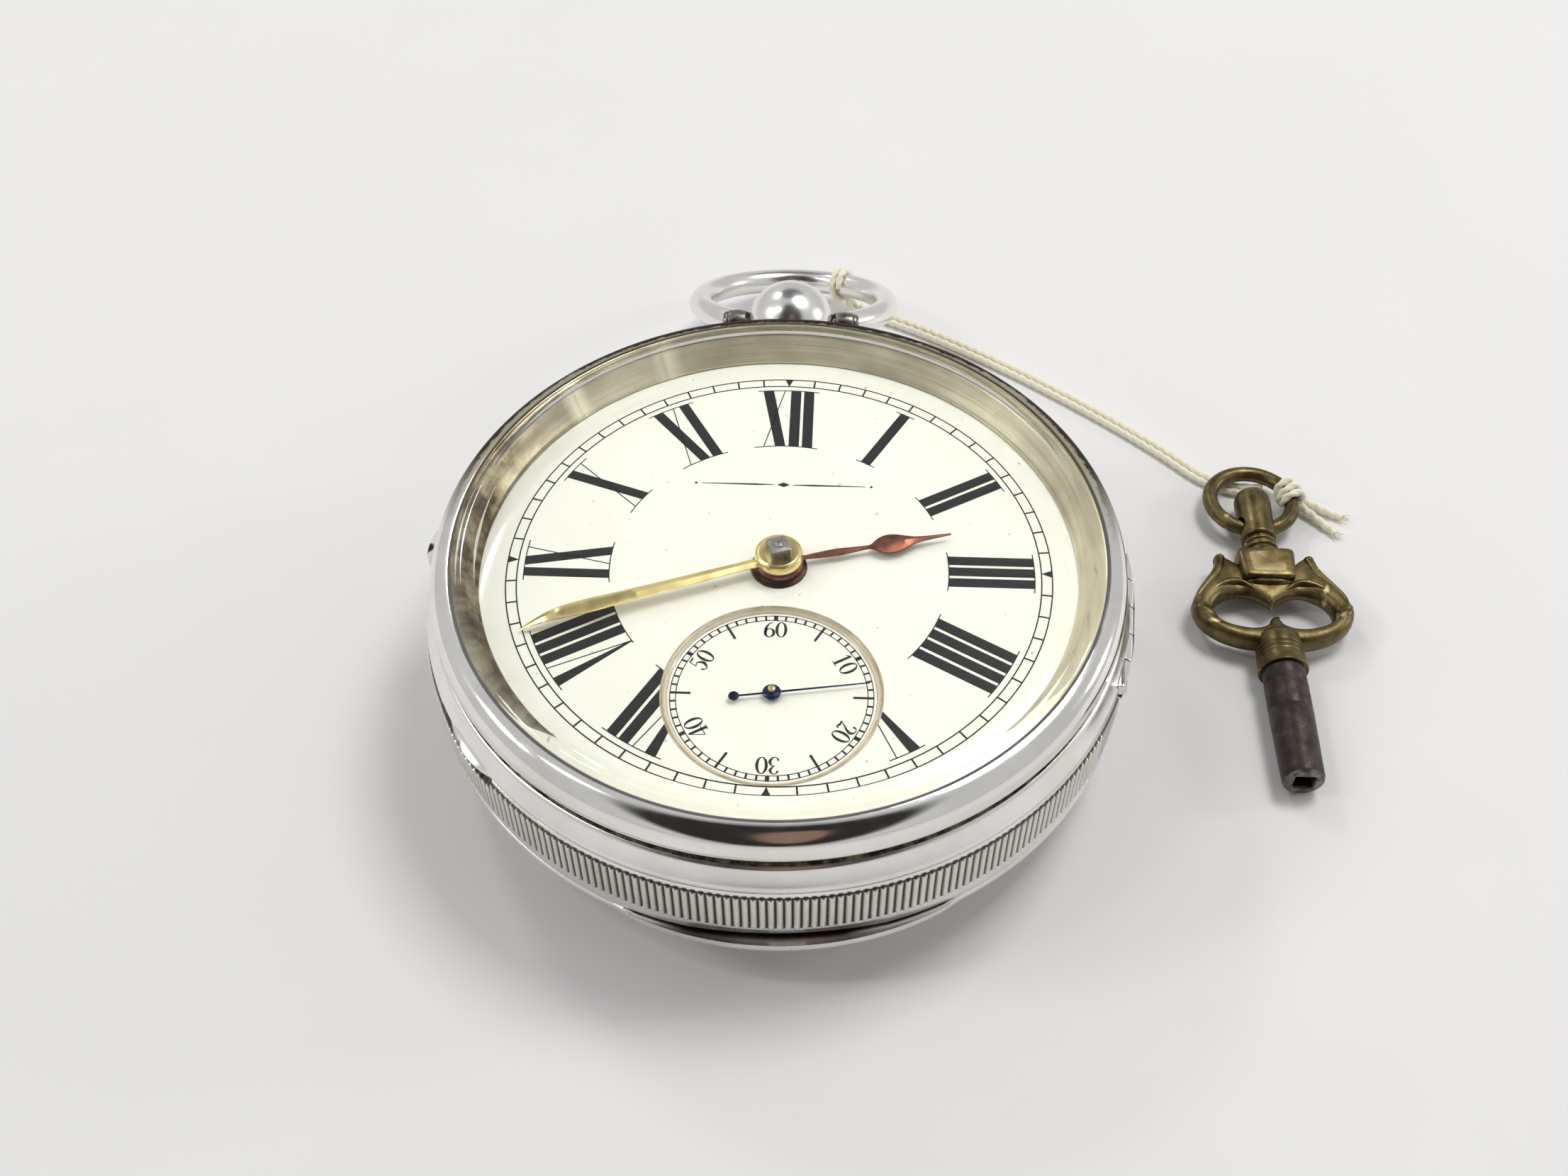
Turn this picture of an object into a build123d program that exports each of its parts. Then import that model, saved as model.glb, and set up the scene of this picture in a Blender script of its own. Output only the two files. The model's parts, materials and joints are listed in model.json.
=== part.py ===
from build123d import *
import math
import os

# An open face, key-wound, key-set pocket watch lying on its back, with its winding key tied
# to the bow by a doubled cotton string. Millimetres. The origin is the middle of the flat on
# the back cover, +Z comes up through the dial, and +Y points at twelve o'clock.

# ---- driving dimensions -------------------------------------------------------------------
TRACK_R = 20.4  # outer circle of the minute track
DIAL_Z = 13.4  # top face of the dial
DIAL_R = 22.7
DIAL_T = 0.8
CASE_R = 26.5  # plain outer wall of the case
REED_R = 26.75  # crests of the reeding
REED_DEPTH = 0.16
REEDS = 285
SEAM_Z = 11.2  # bezel meets case band
BACK_SEAM_Z = 5.4  # case band meets back cover
BEZEL_TOP = 16.45
CRYSTAL_TOP = 17.3
SUBDIAL_R, SUBDIAL_SUNK = 7.65, 0.35
DOME_HOLE_R = 2.6  # the winding hole in the inner dome
PENDANT_STEM_R = 1.5
GAP = 0.1  # between neighbours that move apart
RUN = 0.05  # radial clearance of a running pivot

# clock angles, in degrees from twelve
BEZEL_HINGE_AT = 96
THUMB_AT = 276
NAIL_LIP_AT = 233
BACK_LIP_AT = 176

# hinges of the case: straight tubes filed flush with the case wall
HINGE_D = 25.9  # from the watch's centre to a hinge's axis
HINGE_TUBE_R = 0.85
HINGE_PIN_R = 0.4
HINGE_FLUSH_R = 26.95
BEZEL_HINGE_Z = SEAM_Z
BEZEL_HINGE_L = 13.0
BACK_HINGE_Z = 5.35
BACK_HINGE_L = 14.0

# pendant and bow
PENDANT_Y, PENDANT_Z, PENDANT_R = 32.8, 8.9, 3.8
BOW_RING_R = 8.7
BOW_TUBE_R = 1.1
BOW_REACH = 8.57  # from the pivot to the ring's centre
BOW_DROOP = 25.7  # degrees below level, so that the string round its far end lies on the table
BOW_PIN_R = 0.6
BOW_HEAD_R = 1.0
HITCH_AT = 150  # where the string holds the ring, in degrees round it from the pivot
KNOT_TURN = 17  # degrees that the turns on the key's ring lean

# movement, levels from the dial down
PILLAR_PLATE = (9.9, 11.2)
TOP_PLATE = (5.4, 6.6)
PILLAR_PLATE_R = 21.5
TOP_PLATE_R = 19.2
PILLAR_AT, PILLAR_ANGLES = 18.0, (30, 165, 215, 310)

# the train: tooth counts and modules
CENTRE_TEETH, THIRD_LEAVES, CENTRE_MODULE = 80, 10, 0.2
THIRD_TEETH, FOURTH_LEAVES, THIRD_MODULE = 75, 10, 0.18
FOURTH_TEETH, ESCAPE_LEAVES, FOURTH_MODULE = 70, 7, 0.15
BARREL_TEETH, CENTRE_LEAVES, BARREL_MODULE = 80, 10, 0.21
CANNON_LEAVES, MINUTE_TEETH, CANNON_MODULE = 12, 36, 0.25
MINUTE_LEAVES, HOUR_TEETH, HOUR_MODULE = 10, 40, 0.24
ESCAPE_TEETH, ESCAPE_R = 15, 3.3

SECONDS_Y = -11.7
BARREL_ANGLE = 120
MINUTE_WHEEL_ANGLE = 45
ESCAPE_ANGLE = 170
PALLET_REACH, BALANCE_REACH, LEVER_ANGLE = 4.0, 8.6, 120

SQUARE = 1.5  # across the flats of the setting and winding squares, and of the key
MINUTE_HAND_AT, HOUR_HAND_AT, SECONDS_HAND_AT = 249.8, 76.0, 81.0

# key and string
KEY_X, KEY_Z = 40.2, 1.75
PIPE_R = 1.7
KEY_RING_Y, KEY_RING_R, KEY_RING_TUBE = 19.33, 3.5, 0.65
KEY_EYE_Y = 16.0
KEY_RING_LIFT = 1.4  # height of the ring's far side
STRING_R = 0.33
STRAND_GAP = 0.06
STRING_ROUTE = [  # middle of the two strands, from the bow to the key ring
    (5.6, 44.9, 0.45),
    (9.4, 43.4, 0.36),
    (14.4, 40.6, 0.36),
    (20.0, 37.0, 0.36),
    (27.3, 31.6, 0.36),
    (33.6, 26.2, 0.36),
    (36.6, 23.0, 0.36),
    (39.4, 21.7, 0.36),
    (41.7, 21.5, 0.75),
]
TAIL_ROUTES = [
    [(44.9, 20.5, 0.7), (46.2, 19.8, 0.40), (47.7, 18.5, 0.36)],
    [(44.7, 19.8, 0.7), (45.7, 18.7, 0.40), (46.4, 16.6, 0.36)],
]

PARTS = {}


def polar(angle, radius, z=None):
    """A point at a clock angle and radius from the watch's centre."""
    a = math.radians(90 - angle)
    flat = (radius * math.cos(a), radius * math.sin(a))
    return flat if z is None else (*flat, z)


def away(start, angle, distance):
    """The point at a distance and a mathematical angle from another one."""
    a = math.radians(angle)
    return start[0] + distance * math.cos(a), start[1] + distance * math.sin(a)


def outline(start, *steps):
    """A closed face. A step is the next corner, or a (middle, end) pair for an arc."""
    edges, at = [], start
    for step in steps:
        if isinstance(step[0], tuple):
            edges.append(ThreePointArc(at, *step))
            at = step[1]
        else:
            edges.append(Line(at, step))
            at = step
    if at != start:
        edges.append(Line(at, start))
    return make_face(edges)


def turned(face):
    """A solid of revolution about Z from a face drawn in (radius, height)."""
    return revolve(Plane.XZ * face, Axis.Z, 360)


def stepped(*steps):
    """A turned bar of (radius, bottom, top) steps."""
    bar = Part()
    for radius, low, high in steps:
        bar += Pos(0, 0, low) * Cylinder(radius, high - low, align=BASE)
    return bar


def tube(radius, bore, low, high):
    return Pos(0, 0, low) * (
        Cylinder(radius, high - low, align=BASE) - Cylinder(bore, high - low, align=BASE)
    )


def slab(face, low, high):
    """A flat face raised between two heights."""
    return Pos(0, 0, low) * extrude(face, high - low, dir=(0, 0, 1))


def at(point, shape):
    return Pos(point[0], point[1], 0) * shape


def rod(start, end, radius):
    """A plain round bar from one point to another."""
    line = Line(start, end)
    return sweep(Plane(start, z_dir=line % 0) * Circle(radius), path=line)


def keep(name, *shapes):
    """Stores a sub-part under its node's name, as one shape."""
    PARTS[name] = shapes[0] if len(shapes) == 1 else Compound(children=list(shapes))


BASE = (Align.CENTER, Align.CENTER, Align.MIN)


# ---- gears --------------------------------------------------------------------------------
def gear_face(teeth, module, turn=0.0, thin=0.05, tip=1.0, root=1.25):
    """A spur gear's outline: straight-flanked teeth with bevelled tips, turned so that a
    tooth points at the angle turn."""
    pitch = teeth * module / 2
    half = math.pi / teeth / 2 * (1 - thin)
    points = []
    for n in range(teeth):
        middle = math.radians(turn) + 2 * math.pi * n / teeth
        for radius, share in (
            (pitch - root * module, -1.55),
            (pitch, -1.0),
            (pitch + tip * module, -0.42),
            (pitch + tip * module, 0.42),
            (pitch, 1.0),
            (pitch - root * module, 1.55),
        ):
            a = middle + share * half
            points.append((radius * math.cos(a), radius * math.sin(a)))
    return make_face(Polyline(*points, close=True))


def crossed(face, rim, hub, bore, arms, arm_width, turn=0.0):
    """A wheel's face with windows between its arms and a hole for its arbor."""
    window = Circle(rim) - Circle(hub)
    for n in range(arms):
        arm = Pos(rim / 2, 0) * Rectangle(rim + 1, arm_width)
        window -= Rot(0, 0, turn + 360 * n / arms) * arm
    return face - window - Circle(bore)


def meshing(driver_teeth, driver_turn, teeth, bearing):
    """The turn that puts a gap of a gear on a tooth line of its driver. The bearing is the
    mathematical angle from the driver's centre to the gear's."""
    phase = ((bearing - driver_turn) * driver_teeth / 360) % 1
    return bearing + 180 + (phase - 0.5) * 360 / teeth


# ---- places of the arbors -----------------------------------------------------------------
CENTRE = (0.0, 0.0)
SECONDS = (0.0, SECONDS_Y)
CENTRE_TO_THIRD = CENTRE_MODULE * (CENTRE_TEETH + THIRD_LEAVES) / 2
THIRD_TO_FOURTH = THIRD_MODULE * (THIRD_TEETH + FOURTH_LEAVES) / 2
FOURTH_TO_ESCAPE = FOURTH_MODULE * (FOURTH_TEETH + ESCAPE_LEAVES) / 2
BARREL_TO_CENTRE = BARREL_MODULE * (BARREL_TEETH + CENTRE_LEAVES) / 2
CANNON_TO_MINUTE = CANNON_MODULE * (CANNON_LEAVES + MINUTE_TEETH) / 2

ALONG = (CENTRE_TO_THIRD**2 - THIRD_TO_FOURTH**2 + SECONDS_Y**2) / (2 * -SECONDS_Y)
THIRD = (math.sqrt(CENTRE_TO_THIRD**2 - ALONG**2), -ALONG)
BARREL = away(CENTRE, BARREL_ANGLE, BARREL_TO_CENTRE)
ESCAPE = away(SECONDS, ESCAPE_ANGLE, FOURTH_TO_ESCAPE)
PALLET = away(ESCAPE, LEVER_ANGLE, PALLET_REACH)
BALANCE = away(ESCAPE, LEVER_ANGLE, BALANCE_REACH)
MINUTE_POST = away(CENTRE, MINUTE_WHEEL_ANGLE, CANNON_TO_MINUTE)
COCK_FOOT = (-13.2, 5.2)


def bearing(a, b):
    return math.degrees(math.atan2(b[1] - a[1], b[0] - a[0]))


# ---- case ---------------------------------------------------------------------------------
def hinge_frame(clock, z):
    """A plane on a hinge's axis: X outward from the watch, Y along the hinge."""
    u = polar(clock, 1.0, 0)
    return Plane(origin=polar(clock, HINGE_D, z), x_dir=u, z_dir=(0, 0, 1))


def knuckles(clock, z, length, count, owners, radius=HINGE_TUBE_R):
    """The hinge tube's pieces that one leaf owns, bored for the pin."""
    pitch = length / count
    pieces = Part()
    for n in owners:
        middle = -length / 2 + (n + 0.5) * pitch
        piece = Cylinder(radius, pitch - GAP) - Cylinder(HINGE_PIN_R + RUN, pitch)
        pieces += Pos(0, middle, 0) * Rot(90, 0, 0) * piece
    placed = hinge_frame(clock, z) * pieces
    return placed & Cylinder(HINGE_FLUSH_R, 80)


def knuckle_room(clock, z, length, count, owners):
    """The space that the other leaf's knuckles turn in."""
    pitch = length / count
    room = Part()
    for n in owners:
        middle = -length / 2 + (n + 0.5) * pitch
        cut = Cylinder(HINGE_TUBE_R + GAP, pitch + GAP)
        room += Pos(0, middle, 0) * Rot(90, 0, 0) * cut
    return hinge_frame(clock, z) * room


def hinge_pin(clock, z, length):
    pin = Rot(90, 0, 0) * Cylinder(HINGE_PIN_R, length)
    return hinge_frame(clock, z) * pin


def arc_pad(clock, width, inner, outer, low, high):
    """A crescent that stands out of the wall, deepest at its middle."""
    half = width / 2
    left, right = polar(clock - half, inner), polar(clock + half, inner)
    face = outline(
        left, (polar(clock, outer), right), polar(clock + half * 0.9, inner - 1.2),
        (polar(clock, inner - 1.2), polar(clock - half * 0.9, inner - 1.2)),
    )
    return slab(face, low, high)


BEZEL_BAND_KNUCKLES, BEZEL_KNUCKLES = (0, 2, 4), (1, 3)
BACK_BAND_KNUCKLES, BACK_KNUCKLES, DOME_KNUCKLES = (0, 2, 4, 6), (1, 5), (3,)


def reeding():
    """The reeded belt: convex reeds all round, except where the bezel's hinge is filed smooth."""
    smooth = (BEZEL_HINGE_AT - 21, BEZEL_HINGE_AT + 22)
    pitch = 360 / REEDS
    first = math.ceil(smooth[1] / pitch)
    last = math.floor((smooth[0] + 360) / pitch)
    edges = []
    for n in range(first, last):
        start, end = polar(n * pitch, REED_R - REED_DEPTH), polar((n + 1) * pitch, REED_R - REED_DEPTH)
        edges.append(ThreePointArc(start, polar((n + 0.5) * pitch, REED_R), end))
    middle = (first + last - REEDS) / 2 * pitch
    edges.append(
        ThreePointArc(
            polar(last * pitch, REED_R - REED_DEPTH),
            polar(middle, REED_R - REED_DEPTH),
            polar(first * pitch, REED_R - REED_DEPTH),
        )
    )
    return slab(make_face(edges) - Circle(CASE_R - 0.8), 6.7, 10.7)


def make_case_band():
    wall = turned(
        outline(
            (CASE_R - 0.05, SEAM_Z - 0.05),
            ((CASE_R + 0.05, 10.9), (CASE_R, 10.6)),
            (CASE_R, 6.8),
            ((CASE_R + 0.02, 6.2), (CASE_R - 0.1, BACK_SEAM_Z)),
            (24.45, BACK_SEAM_Z),
            (24.45, 6.3),
            (22.5, 6.3),
            (22.5, 9.3),
            (PILLAR_PLATE_R + GAP, 9.3),
            (PILLAR_PLATE_R + GAP, PILLAR_PLATE[1] - 0.4),
            (22.4, PILLAR_PLATE[1] - 0.4),
            (22.4, SEAM_Z + 0.3),
            (DIAL_R + 0.2, SEAM_Z + 0.3),
            (DIAL_R + 0.2, DIAL_Z),
            (24.6, DIAL_Z),
            (24.6, SEAM_Z - 0.05),
        )
    )
    wall += reeding()
    wall += knuckles(BEZEL_HINGE_AT, BEZEL_HINGE_Z, BEZEL_HINGE_L, 5, BEZEL_BAND_KNUCKLES)
    wall -= knuckle_room(BEZEL_HINGE_AT, BEZEL_HINGE_Z, BEZEL_HINGE_L, 5, BEZEL_KNUCKLES)
    wall += knuckles(0, BACK_HINGE_Z, BACK_HINGE_L, 7, BACK_BAND_KNUCKLES)
    wall -= knuckle_room(0, BACK_HINGE_Z, BACK_HINGE_L, 7, BACK_KNUCKLES + DOME_KNUCKLES)
    for clock, z, length in (
        (BEZEL_HINGE_AT, BEZEL_HINGE_Z, BEZEL_HINGE_L),
        (0, BACK_HINGE_Z, BACK_HINGE_L),
    ):
        bore = Rot(90, 0, 0) * Cylinder(HINGE_PIN_R, length + GAP)
        wall -= hinge_frame(clock, z) * bore
    # slot for the dome's hinge arm, the nail hollow under the bezel, and the pendant's seat
    wall -= Pos(0, 24.6, 5.7) * Box(2.2, 4.4, 1.9)
    hollow = Cylinder(2.6, 0.9)
    wall -= Pos(*polar(NAIL_LIP_AT, CASE_R + 1.7, SEAM_Z - 0.35)) * hollow
    wall -= rod((0, 23.4, PENDANT_Z), (0, 28.0, PENDANT_Z), PENDANT_STEM_R)
    keep("case_band", wall)



def make_pendant():
    ball = Pos(0, PENDANT_Y, PENDANT_Z) * Sphere(PENDANT_R)
    neck = rod((0, 27.4, PENDANT_Z), (0, PENDANT_Y, PENDANT_Z), 2.1)
    collar = rod((0, CASE_R + 0.35, PENDANT_Z), (0, 27.9, PENDANT_Z), 3.1)
    stem = rod((0, 24.2, PENDANT_Z), (0, 27.4, PENDANT_Z), PENDANT_STEM_R)
    bore = rod((-6, PENDANT_Y, PENDANT_Z), (6, PENDANT_Y, PENDANT_Z), BOW_PIN_R)
    saddle = Cylinder(REED_R + 0.05, 12)
    shell = (ball + neck + collar) - Pos(0, 0, PENDANT_Z) * saddle
    keep("pendant", shell + stem - bore)


def bow_frame():
    """The bow's own plane: Y runs from the pivot to the ring's far end."""
    return Pos(0, PENDANT_Y, PENDANT_Z) * Rot(-BOW_DROOP, 0, 0)


def bow_point(angle):
    """A point of the ring's centre line, in degrees round from the pivot."""
    a = math.radians(angle)
    return BOW_RING_R * math.sin(a), BOW_REACH - BOW_RING_R * math.cos(a)


def make_bow():
    start, lug = 36, 4.0
    low, far = bow_point(start), (0, BOW_REACH + BOW_RING_R)
    ring = ThreePointArc(low, far, (-low[0], low[1]))
    path_start = Plane(origin=(*low, 0), z_dir=ring % 0)
    body = sweep(path_start * Circle(BOW_TUBE_R), path=ring)
    for side in (-1, 1):
        eye = rod((side * lug, 0, 0), (side * (lug + 1.6), 0, 0), 1.35)
        root = bow_point(start)
        arm = rod((side * (lug + 0.8), 0, 0), (side * root[0], root[1], 0), BOW_TUBE_R)
        body += eye + arm + Pos(side * root[0], root[1], 0) * Sphere(BOW_TUBE_R)
    body -= rod((-8, 0, 0), (8, 0, 0), BOW_PIN_R + RUN)
    for side in (-1, 1):
        body -= rod((side * 5.6, 0, 0), (side * 8, 0, 0), BOW_HEAD_R + GAP)
    near_ball = Sphere(PENDANT_R + 0.15)
    keep("bow", bow_frame() * (body - near_ball))


def make_bow_screws():
    screws = []
    for side in (-1, 1):
        shank = rod((side * 1.6, 0, 0), (side * 5.75, 0, 0), BOW_PIN_R)
        head = rod((side * 5.7, 0, 0), (side * 6.1, 0, 0), BOW_HEAD_R)
        slot = Pos(side * 6.1, 0, 0) * Box(0.3, 0.22, 3)
        screws.append(Pos(0, PENDANT_Y, PENDANT_Z) * (shank + head - slot))
    keep("bow_screws", *screws)


def make_bezel():
    ring = turned(
        outline(
            (22.36, DIAL_Z + GAP),
            (23.8, 15.7),
            (24.2, 15.75),
            (24.2, 16.15),
            (23.95, BEZEL_TOP - 0.05),
            ((24.1, BEZEL_TOP), (24.35, BEZEL_TOP)),
            ((25.45, 15.75), (25.75, 14.7)),
            ((25.72, 14.0), (25.4, 13.45)),
            ((26.15, 12.5), (CASE_R, SEAM_Z + 0.05)),
            (24.75, SEAM_Z + 0.05),
            (24.75, DIAL_Z + GAP),
        )
    )
    ring += arc_pad(THUMB_AT, 9, CASE_R - 0.2, CASE_R + 0.9, SEAM_Z + 0.05, SEAM_Z + 0.75)
    ring += arc_pad(NAIL_LIP_AT, 12, CASE_R - 0.2, CASE_R + 0.45, SEAM_Z + 0.05, SEAM_Z + 0.5)
    ring -= knuckle_room(BEZEL_HINGE_AT, BEZEL_HINGE_Z, BEZEL_HINGE_L, 5, BEZEL_BAND_KNUCKLES)
    leaf = knuckles(BEZEL_HINGE_AT, BEZEL_HINGE_Z, BEZEL_HINGE_L, 5, BEZEL_KNUCKLES)
    bore = Rot(90, 0, 0) * Cylinder(HINGE_PIN_R + RUN, BEZEL_HINGE_L + GAP)
    keep("bezel", ring + leaf - hinge_frame(BEZEL_HINGE_AT, BEZEL_HINGE_Z) * bore)


def make_crystal():
    glass = turned(
        outline(
            (0, CRYSTAL_TOP),
            (1, CRYSTAL_TOP),
            ((14.0, CRYSTAL_TOP - 0.24), (22.6, CRYSTAL_TOP - 0.68)),
            ((23.5, CRYSTAL_TOP - 0.85), (23.9, 16.15)),
            (24.15, 16.12),
            (24.15, 15.8),
            (23.2, 15.8),
            ((13.0, 16.3), (1, 16.5)),
            (0, 16.5),
        )
    )
    keep("crystal", glass)


def make_back_cover():
    def sag(r):
        return (r * r - 36) / 140.6

    shell = turned(
        outline(
            (0, 0),
            (6, 0),
            ((17.5, sag(17.5)), (CASE_R - 0.1, sag(CASE_R - 0.1) + 0.05)),
            (CASE_R, BACK_SEAM_Z - 0.1),
            (25.2, BACK_SEAM_Z - 0.1),
            ((17.2, sag(17.2) + 0.5), (6, 0.5)),
            (0, 0.5),
        )
    )
    shell += arc_pad(BACK_LIP_AT, 56, CASE_R - 0.35, CASE_R + 0.8, BACK_SEAM_Z - 0.6, BACK_SEAM_Z - 0.15)
    shell -= knuckle_room(0, BACK_HINGE_Z, BACK_HINGE_L, 7, BACK_BAND_KNUCKLES + DOME_KNUCKLES)
    leaf = knuckles(0, BACK_HINGE_Z, BACK_HINGE_L, 7, BACK_KNUCKLES)
    bore = Rot(90, 0, 0) * Cylinder(HINGE_PIN_R + RUN, BACK_HINGE_L + GAP)
    keep("back_cover", shell + leaf - hinge_frame(0, BACK_HINGE_Z) * bore)



def make_inner_dome():
    def sag(r):
        return 0.8 + r * r / 140

    shell = turned(
        outline(
            (0, sag(0)),
            ((12, sag(12)), (23.4, sag(23.4))),
            ((23.9, 5.1), (24.3, 5.75)),
            (24.3, 6.2),
            (23.7, 6.2),
            (23.3, sag(23.3) + 0.45),
            ((12, sag(12) + 0.4), (0, sag(0) + 0.4)),
        )
    )
    arm = Pos(0, 24.7, 5.75) * Box(1.7, 2.2, 0.7)
    leaf = knuckles(0, BACK_HINGE_Z, BACK_HINGE_L, 7, DOME_KNUCKLES)
    eye = at(BARREL, Cylinder(DOME_HOLE_R, 20))
    bore = Rot(90, 0, 0) * Cylinder(HINGE_PIN_R + RUN, BACK_HINGE_L + GAP)
    keep("inner_dome", shell + arm + leaf - eye - hinge_frame(0, BACK_HINGE_Z) * bore)


# ---- dial and hands -----------------------------------------------------------------------


def make_dial():
    disc = tube(DIAL_R, 2.1, DIAL_Z - DIAL_T, DIAL_Z)
    sink = at(SECONDS, tube(SUBDIAL_R, 0.01, DIAL_Z - DIAL_T, DIAL_Z))
    keep("dial", disc - at(SECONDS, Pos(0, 0, DIAL_Z - DIAL_T) * Cylinder(SUBDIAL_R, 2, align=BASE)))
    sub = sink & Pos(0, 0, DIAL_Z - DIAL_T) * Cylinder(60, DIAL_T - SUBDIAL_SUNK, align=BASE)
    keep("seconds_dial", sub - at(SECONDS, Cylinder(0.7, 60)))


DIAL_FEET = ((16.5, 5.5), (-17.0, 3.0), (12.5, -15.5))
DIAL_FOOT_LOW = 10.2


def make_dial_feet():
    low, high = DIAL_FOOT_LOW, DIAL_Z - DIAL_T
    feet = [at(p, Pos(0, 0, low) * Cylinder(0.55, high - low, align=BASE)) for p in DIAL_FEET]
    keep("dial_feet", *feet)


def hand_face(*half_widths):
    """A hand's outline along +X from (distance, half width) pairs, smooth on both sides."""
    upper = Spline(*half_widths)
    lower = Spline(*[(x, -y) for x, y in half_widths])
    ends = [
        Line((p[0], p[1]), (p[0], -p[1])) for p in (half_widths[0], half_widths[-1])
    ]
    return make_face([upper, lower, *ends])


def on_dial(clock, shape):
    """Turns something drawn along +X so that it points at a clock angle."""
    return Rot(0, 0, 90 - clock) * shape


HOUR_PIPE_R, CANNON_PIPE_R, CENTRE_ARBOR_R = 1.5, 1.1, 0.6
HOUR_HAND_Z, MINUTE_HAND_Z, SECONDS_HAND_Z = 14.05, 14.75, 13.75


def make_hour_hand():
    stem = hand_face((1.6, 0.3), (4.0, 0.34), (6.3, 0.26), (7.0, 0.22))
    swell = ((6.9, 0.2), (7.6, 0.55), (8.6, 0.9), (9.7, 0.62))
    point = ((10.5, 0.3), (11.6, 0.19), (13.3, 0.09))
    bulb = hand_face(*swell, *point)
    boss = Circle(1.8)
    face = boss + stem + bulb - Circle(HOUR_PIPE_R)
    keep("hour_hand", on_dial(HOUR_HAND_AT, slab(face, HOUR_HAND_Z, HOUR_HAND_Z + 0.32)))


def make_minute_hand():
    blade = hand_face((1.5, 0.42), (6.0, 0.47), (12.0, 0.56), (15.8, 0.68), (17.6, 0.42), (19.8, 0.07))
    face = Circle(1.8) + blade - Circle(CANNON_PIPE_R)
    keep("minute_hand", on_dial(MINUTE_HAND_AT, slab(face, MINUTE_HAND_Z, MINUTE_HAND_Z + 0.34)))


def make_seconds_hand():
    needle = hand_face((0.5, 0.13), (3.0, 0.11), (6.9, 0.06))
    tail = hand_face((-0.5, 0.13), (-2.1, 0.1), (-2.4, 0.12))
    face = Circle(0.7) + needle + tail + Pos(-2.7, 0) * Circle(0.42)
    pipe = tube(0.5, 0.22, SECONDS_HAND_Z - 0.35, SECONDS_HAND_Z)
    hand = slab(face - Circle(0.22), SECONDS_HAND_Z, SECONDS_HAND_Z + 0.2) + pipe
    keep("seconds_hand", at(SECONDS, on_dial(SECONDS_HAND_AT, hand)))


# ---- motion work --------------------------------------------------------------------------
MINUTE_TURN = meshing(CANNON_LEAVES, 0, MINUTE_TEETH, MINUTE_WHEEL_ANGLE)
HOUR_TURN = meshing(MINUTE_LEAVES, MINUTE_TURN, HOUR_TEETH, MINUTE_WHEEL_ANGLE + 180)


def make_motion_work():
    square = SQUARE * math.sqrt(2) / 2
    leaves = slab(gear_face(CANNON_LEAVES, CANNON_MODULE), 11.3, 11.8)
    pipe = stepped((CANNON_PIPE_R, 11.3, 15.1), (square * 1.25, 15.1, 15.2))
    head = slab(Rot(0, 0, 20) * Rectangle(SQUARE, SQUARE), 15.2, 15.85)
    pip = Pos(0, 0, 15.85) * Cone(0.34, 0.12, 0.14, align=BASE)
    bore = stepped((CENTRE_ARBOR_R, 11.0, 14.4))
    keep("cannon_pinion", leaves + pipe + head + pip - bore)

    wheel = crossed(gear_face(MINUTE_TEETH, CANNON_MODULE, MINUTE_TURN), 3.7, 1.6, 0.65, 4, 0.6)
    pinion = gear_face(MINUTE_LEAVES, HOUR_MODULE, MINUTE_TURN, thin=0.14, tip=0.85) - Circle(0.65)
    body = slab(wheel, 11.35, 11.75) + slab(pinion, 11.75, 12.4)
    keep("minute_wheel", at(MINUTE_POST, body))

    hour = gear_face(HOUR_TEETH, HOUR_MODULE, HOUR_TURN, thin=0.14, tip=0.85) - Circle(CANNON_PIPE_R + RUN)
    pipe = tube(HOUR_PIPE_R, CANNON_PIPE_R + RUN, 11.95, 14.37)
    keep("hour_wheel", slab(hour, 11.95, 12.35) + pipe)
    post = stepped((0.6, 10.6, 12.5), (0.95, PILLAR_PLATE[1], 11.3))
    keep("minute_wheel_post", at(MINUTE_POST, post))


# ---- plates -------------------------------------------------------------------------------
PIVOT_R = 0.22
JEWEL_R = 0.75
PIVOTS = {"third": THIRD, "fourth": SECONDS, "escape": ESCAPE, "pallet": PALLET}


def make_plates():
    low, high = PILLAR_PLATE
    rim = ((PILLAR_PLATE_R, high - 0.35), (22.2, high - 0.35), (22.2, high))
    plate = turned(outline((0, low), (PILLAR_PLATE_R, low), *rim, (0, high)))
    holes = [at(CENTRE, Cylinder(CENTRE_ARBOR_R + RUN, 60)), at(BARREL, Cylinder(1.0 + RUN, 60))]
    holes += [at(p, Cylinder(JEWEL_R, 60)) for p in (THIRD, SECONDS, ESCAPE, PALLET, BALANCE)]
    holes += [at(p, Cylinder(0.55, 60)) for p in DIAL_FEET]
    holes += [at(MINUTE_POST, Cylinder(0.6, 60))]
    for hole in holes:
        plate -= hole
    for n in PILLAR_ANGLES:
        plate -= at(away(CENTRE, n, PILLAR_AT), Cylinder(0.5, 60))
    keep("pillar_plate", plate)

    low, high = TOP_PLATE
    plate = Pos(0, 0, low) * Cylinder(TOP_PLATE_R, high - low, align=BASE)
    for point in (THIRD, SECONDS, ESCAPE, PALLET):
        plate -= at(point, Cylinder(JEWEL_R, 60))
    plate -= at(CENTRE, Cylinder(CENTRE_ARBOR_R + RUN, 60))
    plate -= at(BARREL, Cylinder(1.0 + RUN, 60))
    plate -= at(BALANCE, Cylinder(1.7, 60))
    for n in PILLAR_ANGLES:
        plate -= at(away(CENTRE, n, PILLAR_AT), Cylinder(0.5, 60))
    plate -= at(CLICK_AT, Cylinder(0.4, 60))
    plate -= at(COCK_FOOT, Cylinder(0.5, 60))
    keep("top_plate", plate)


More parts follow.
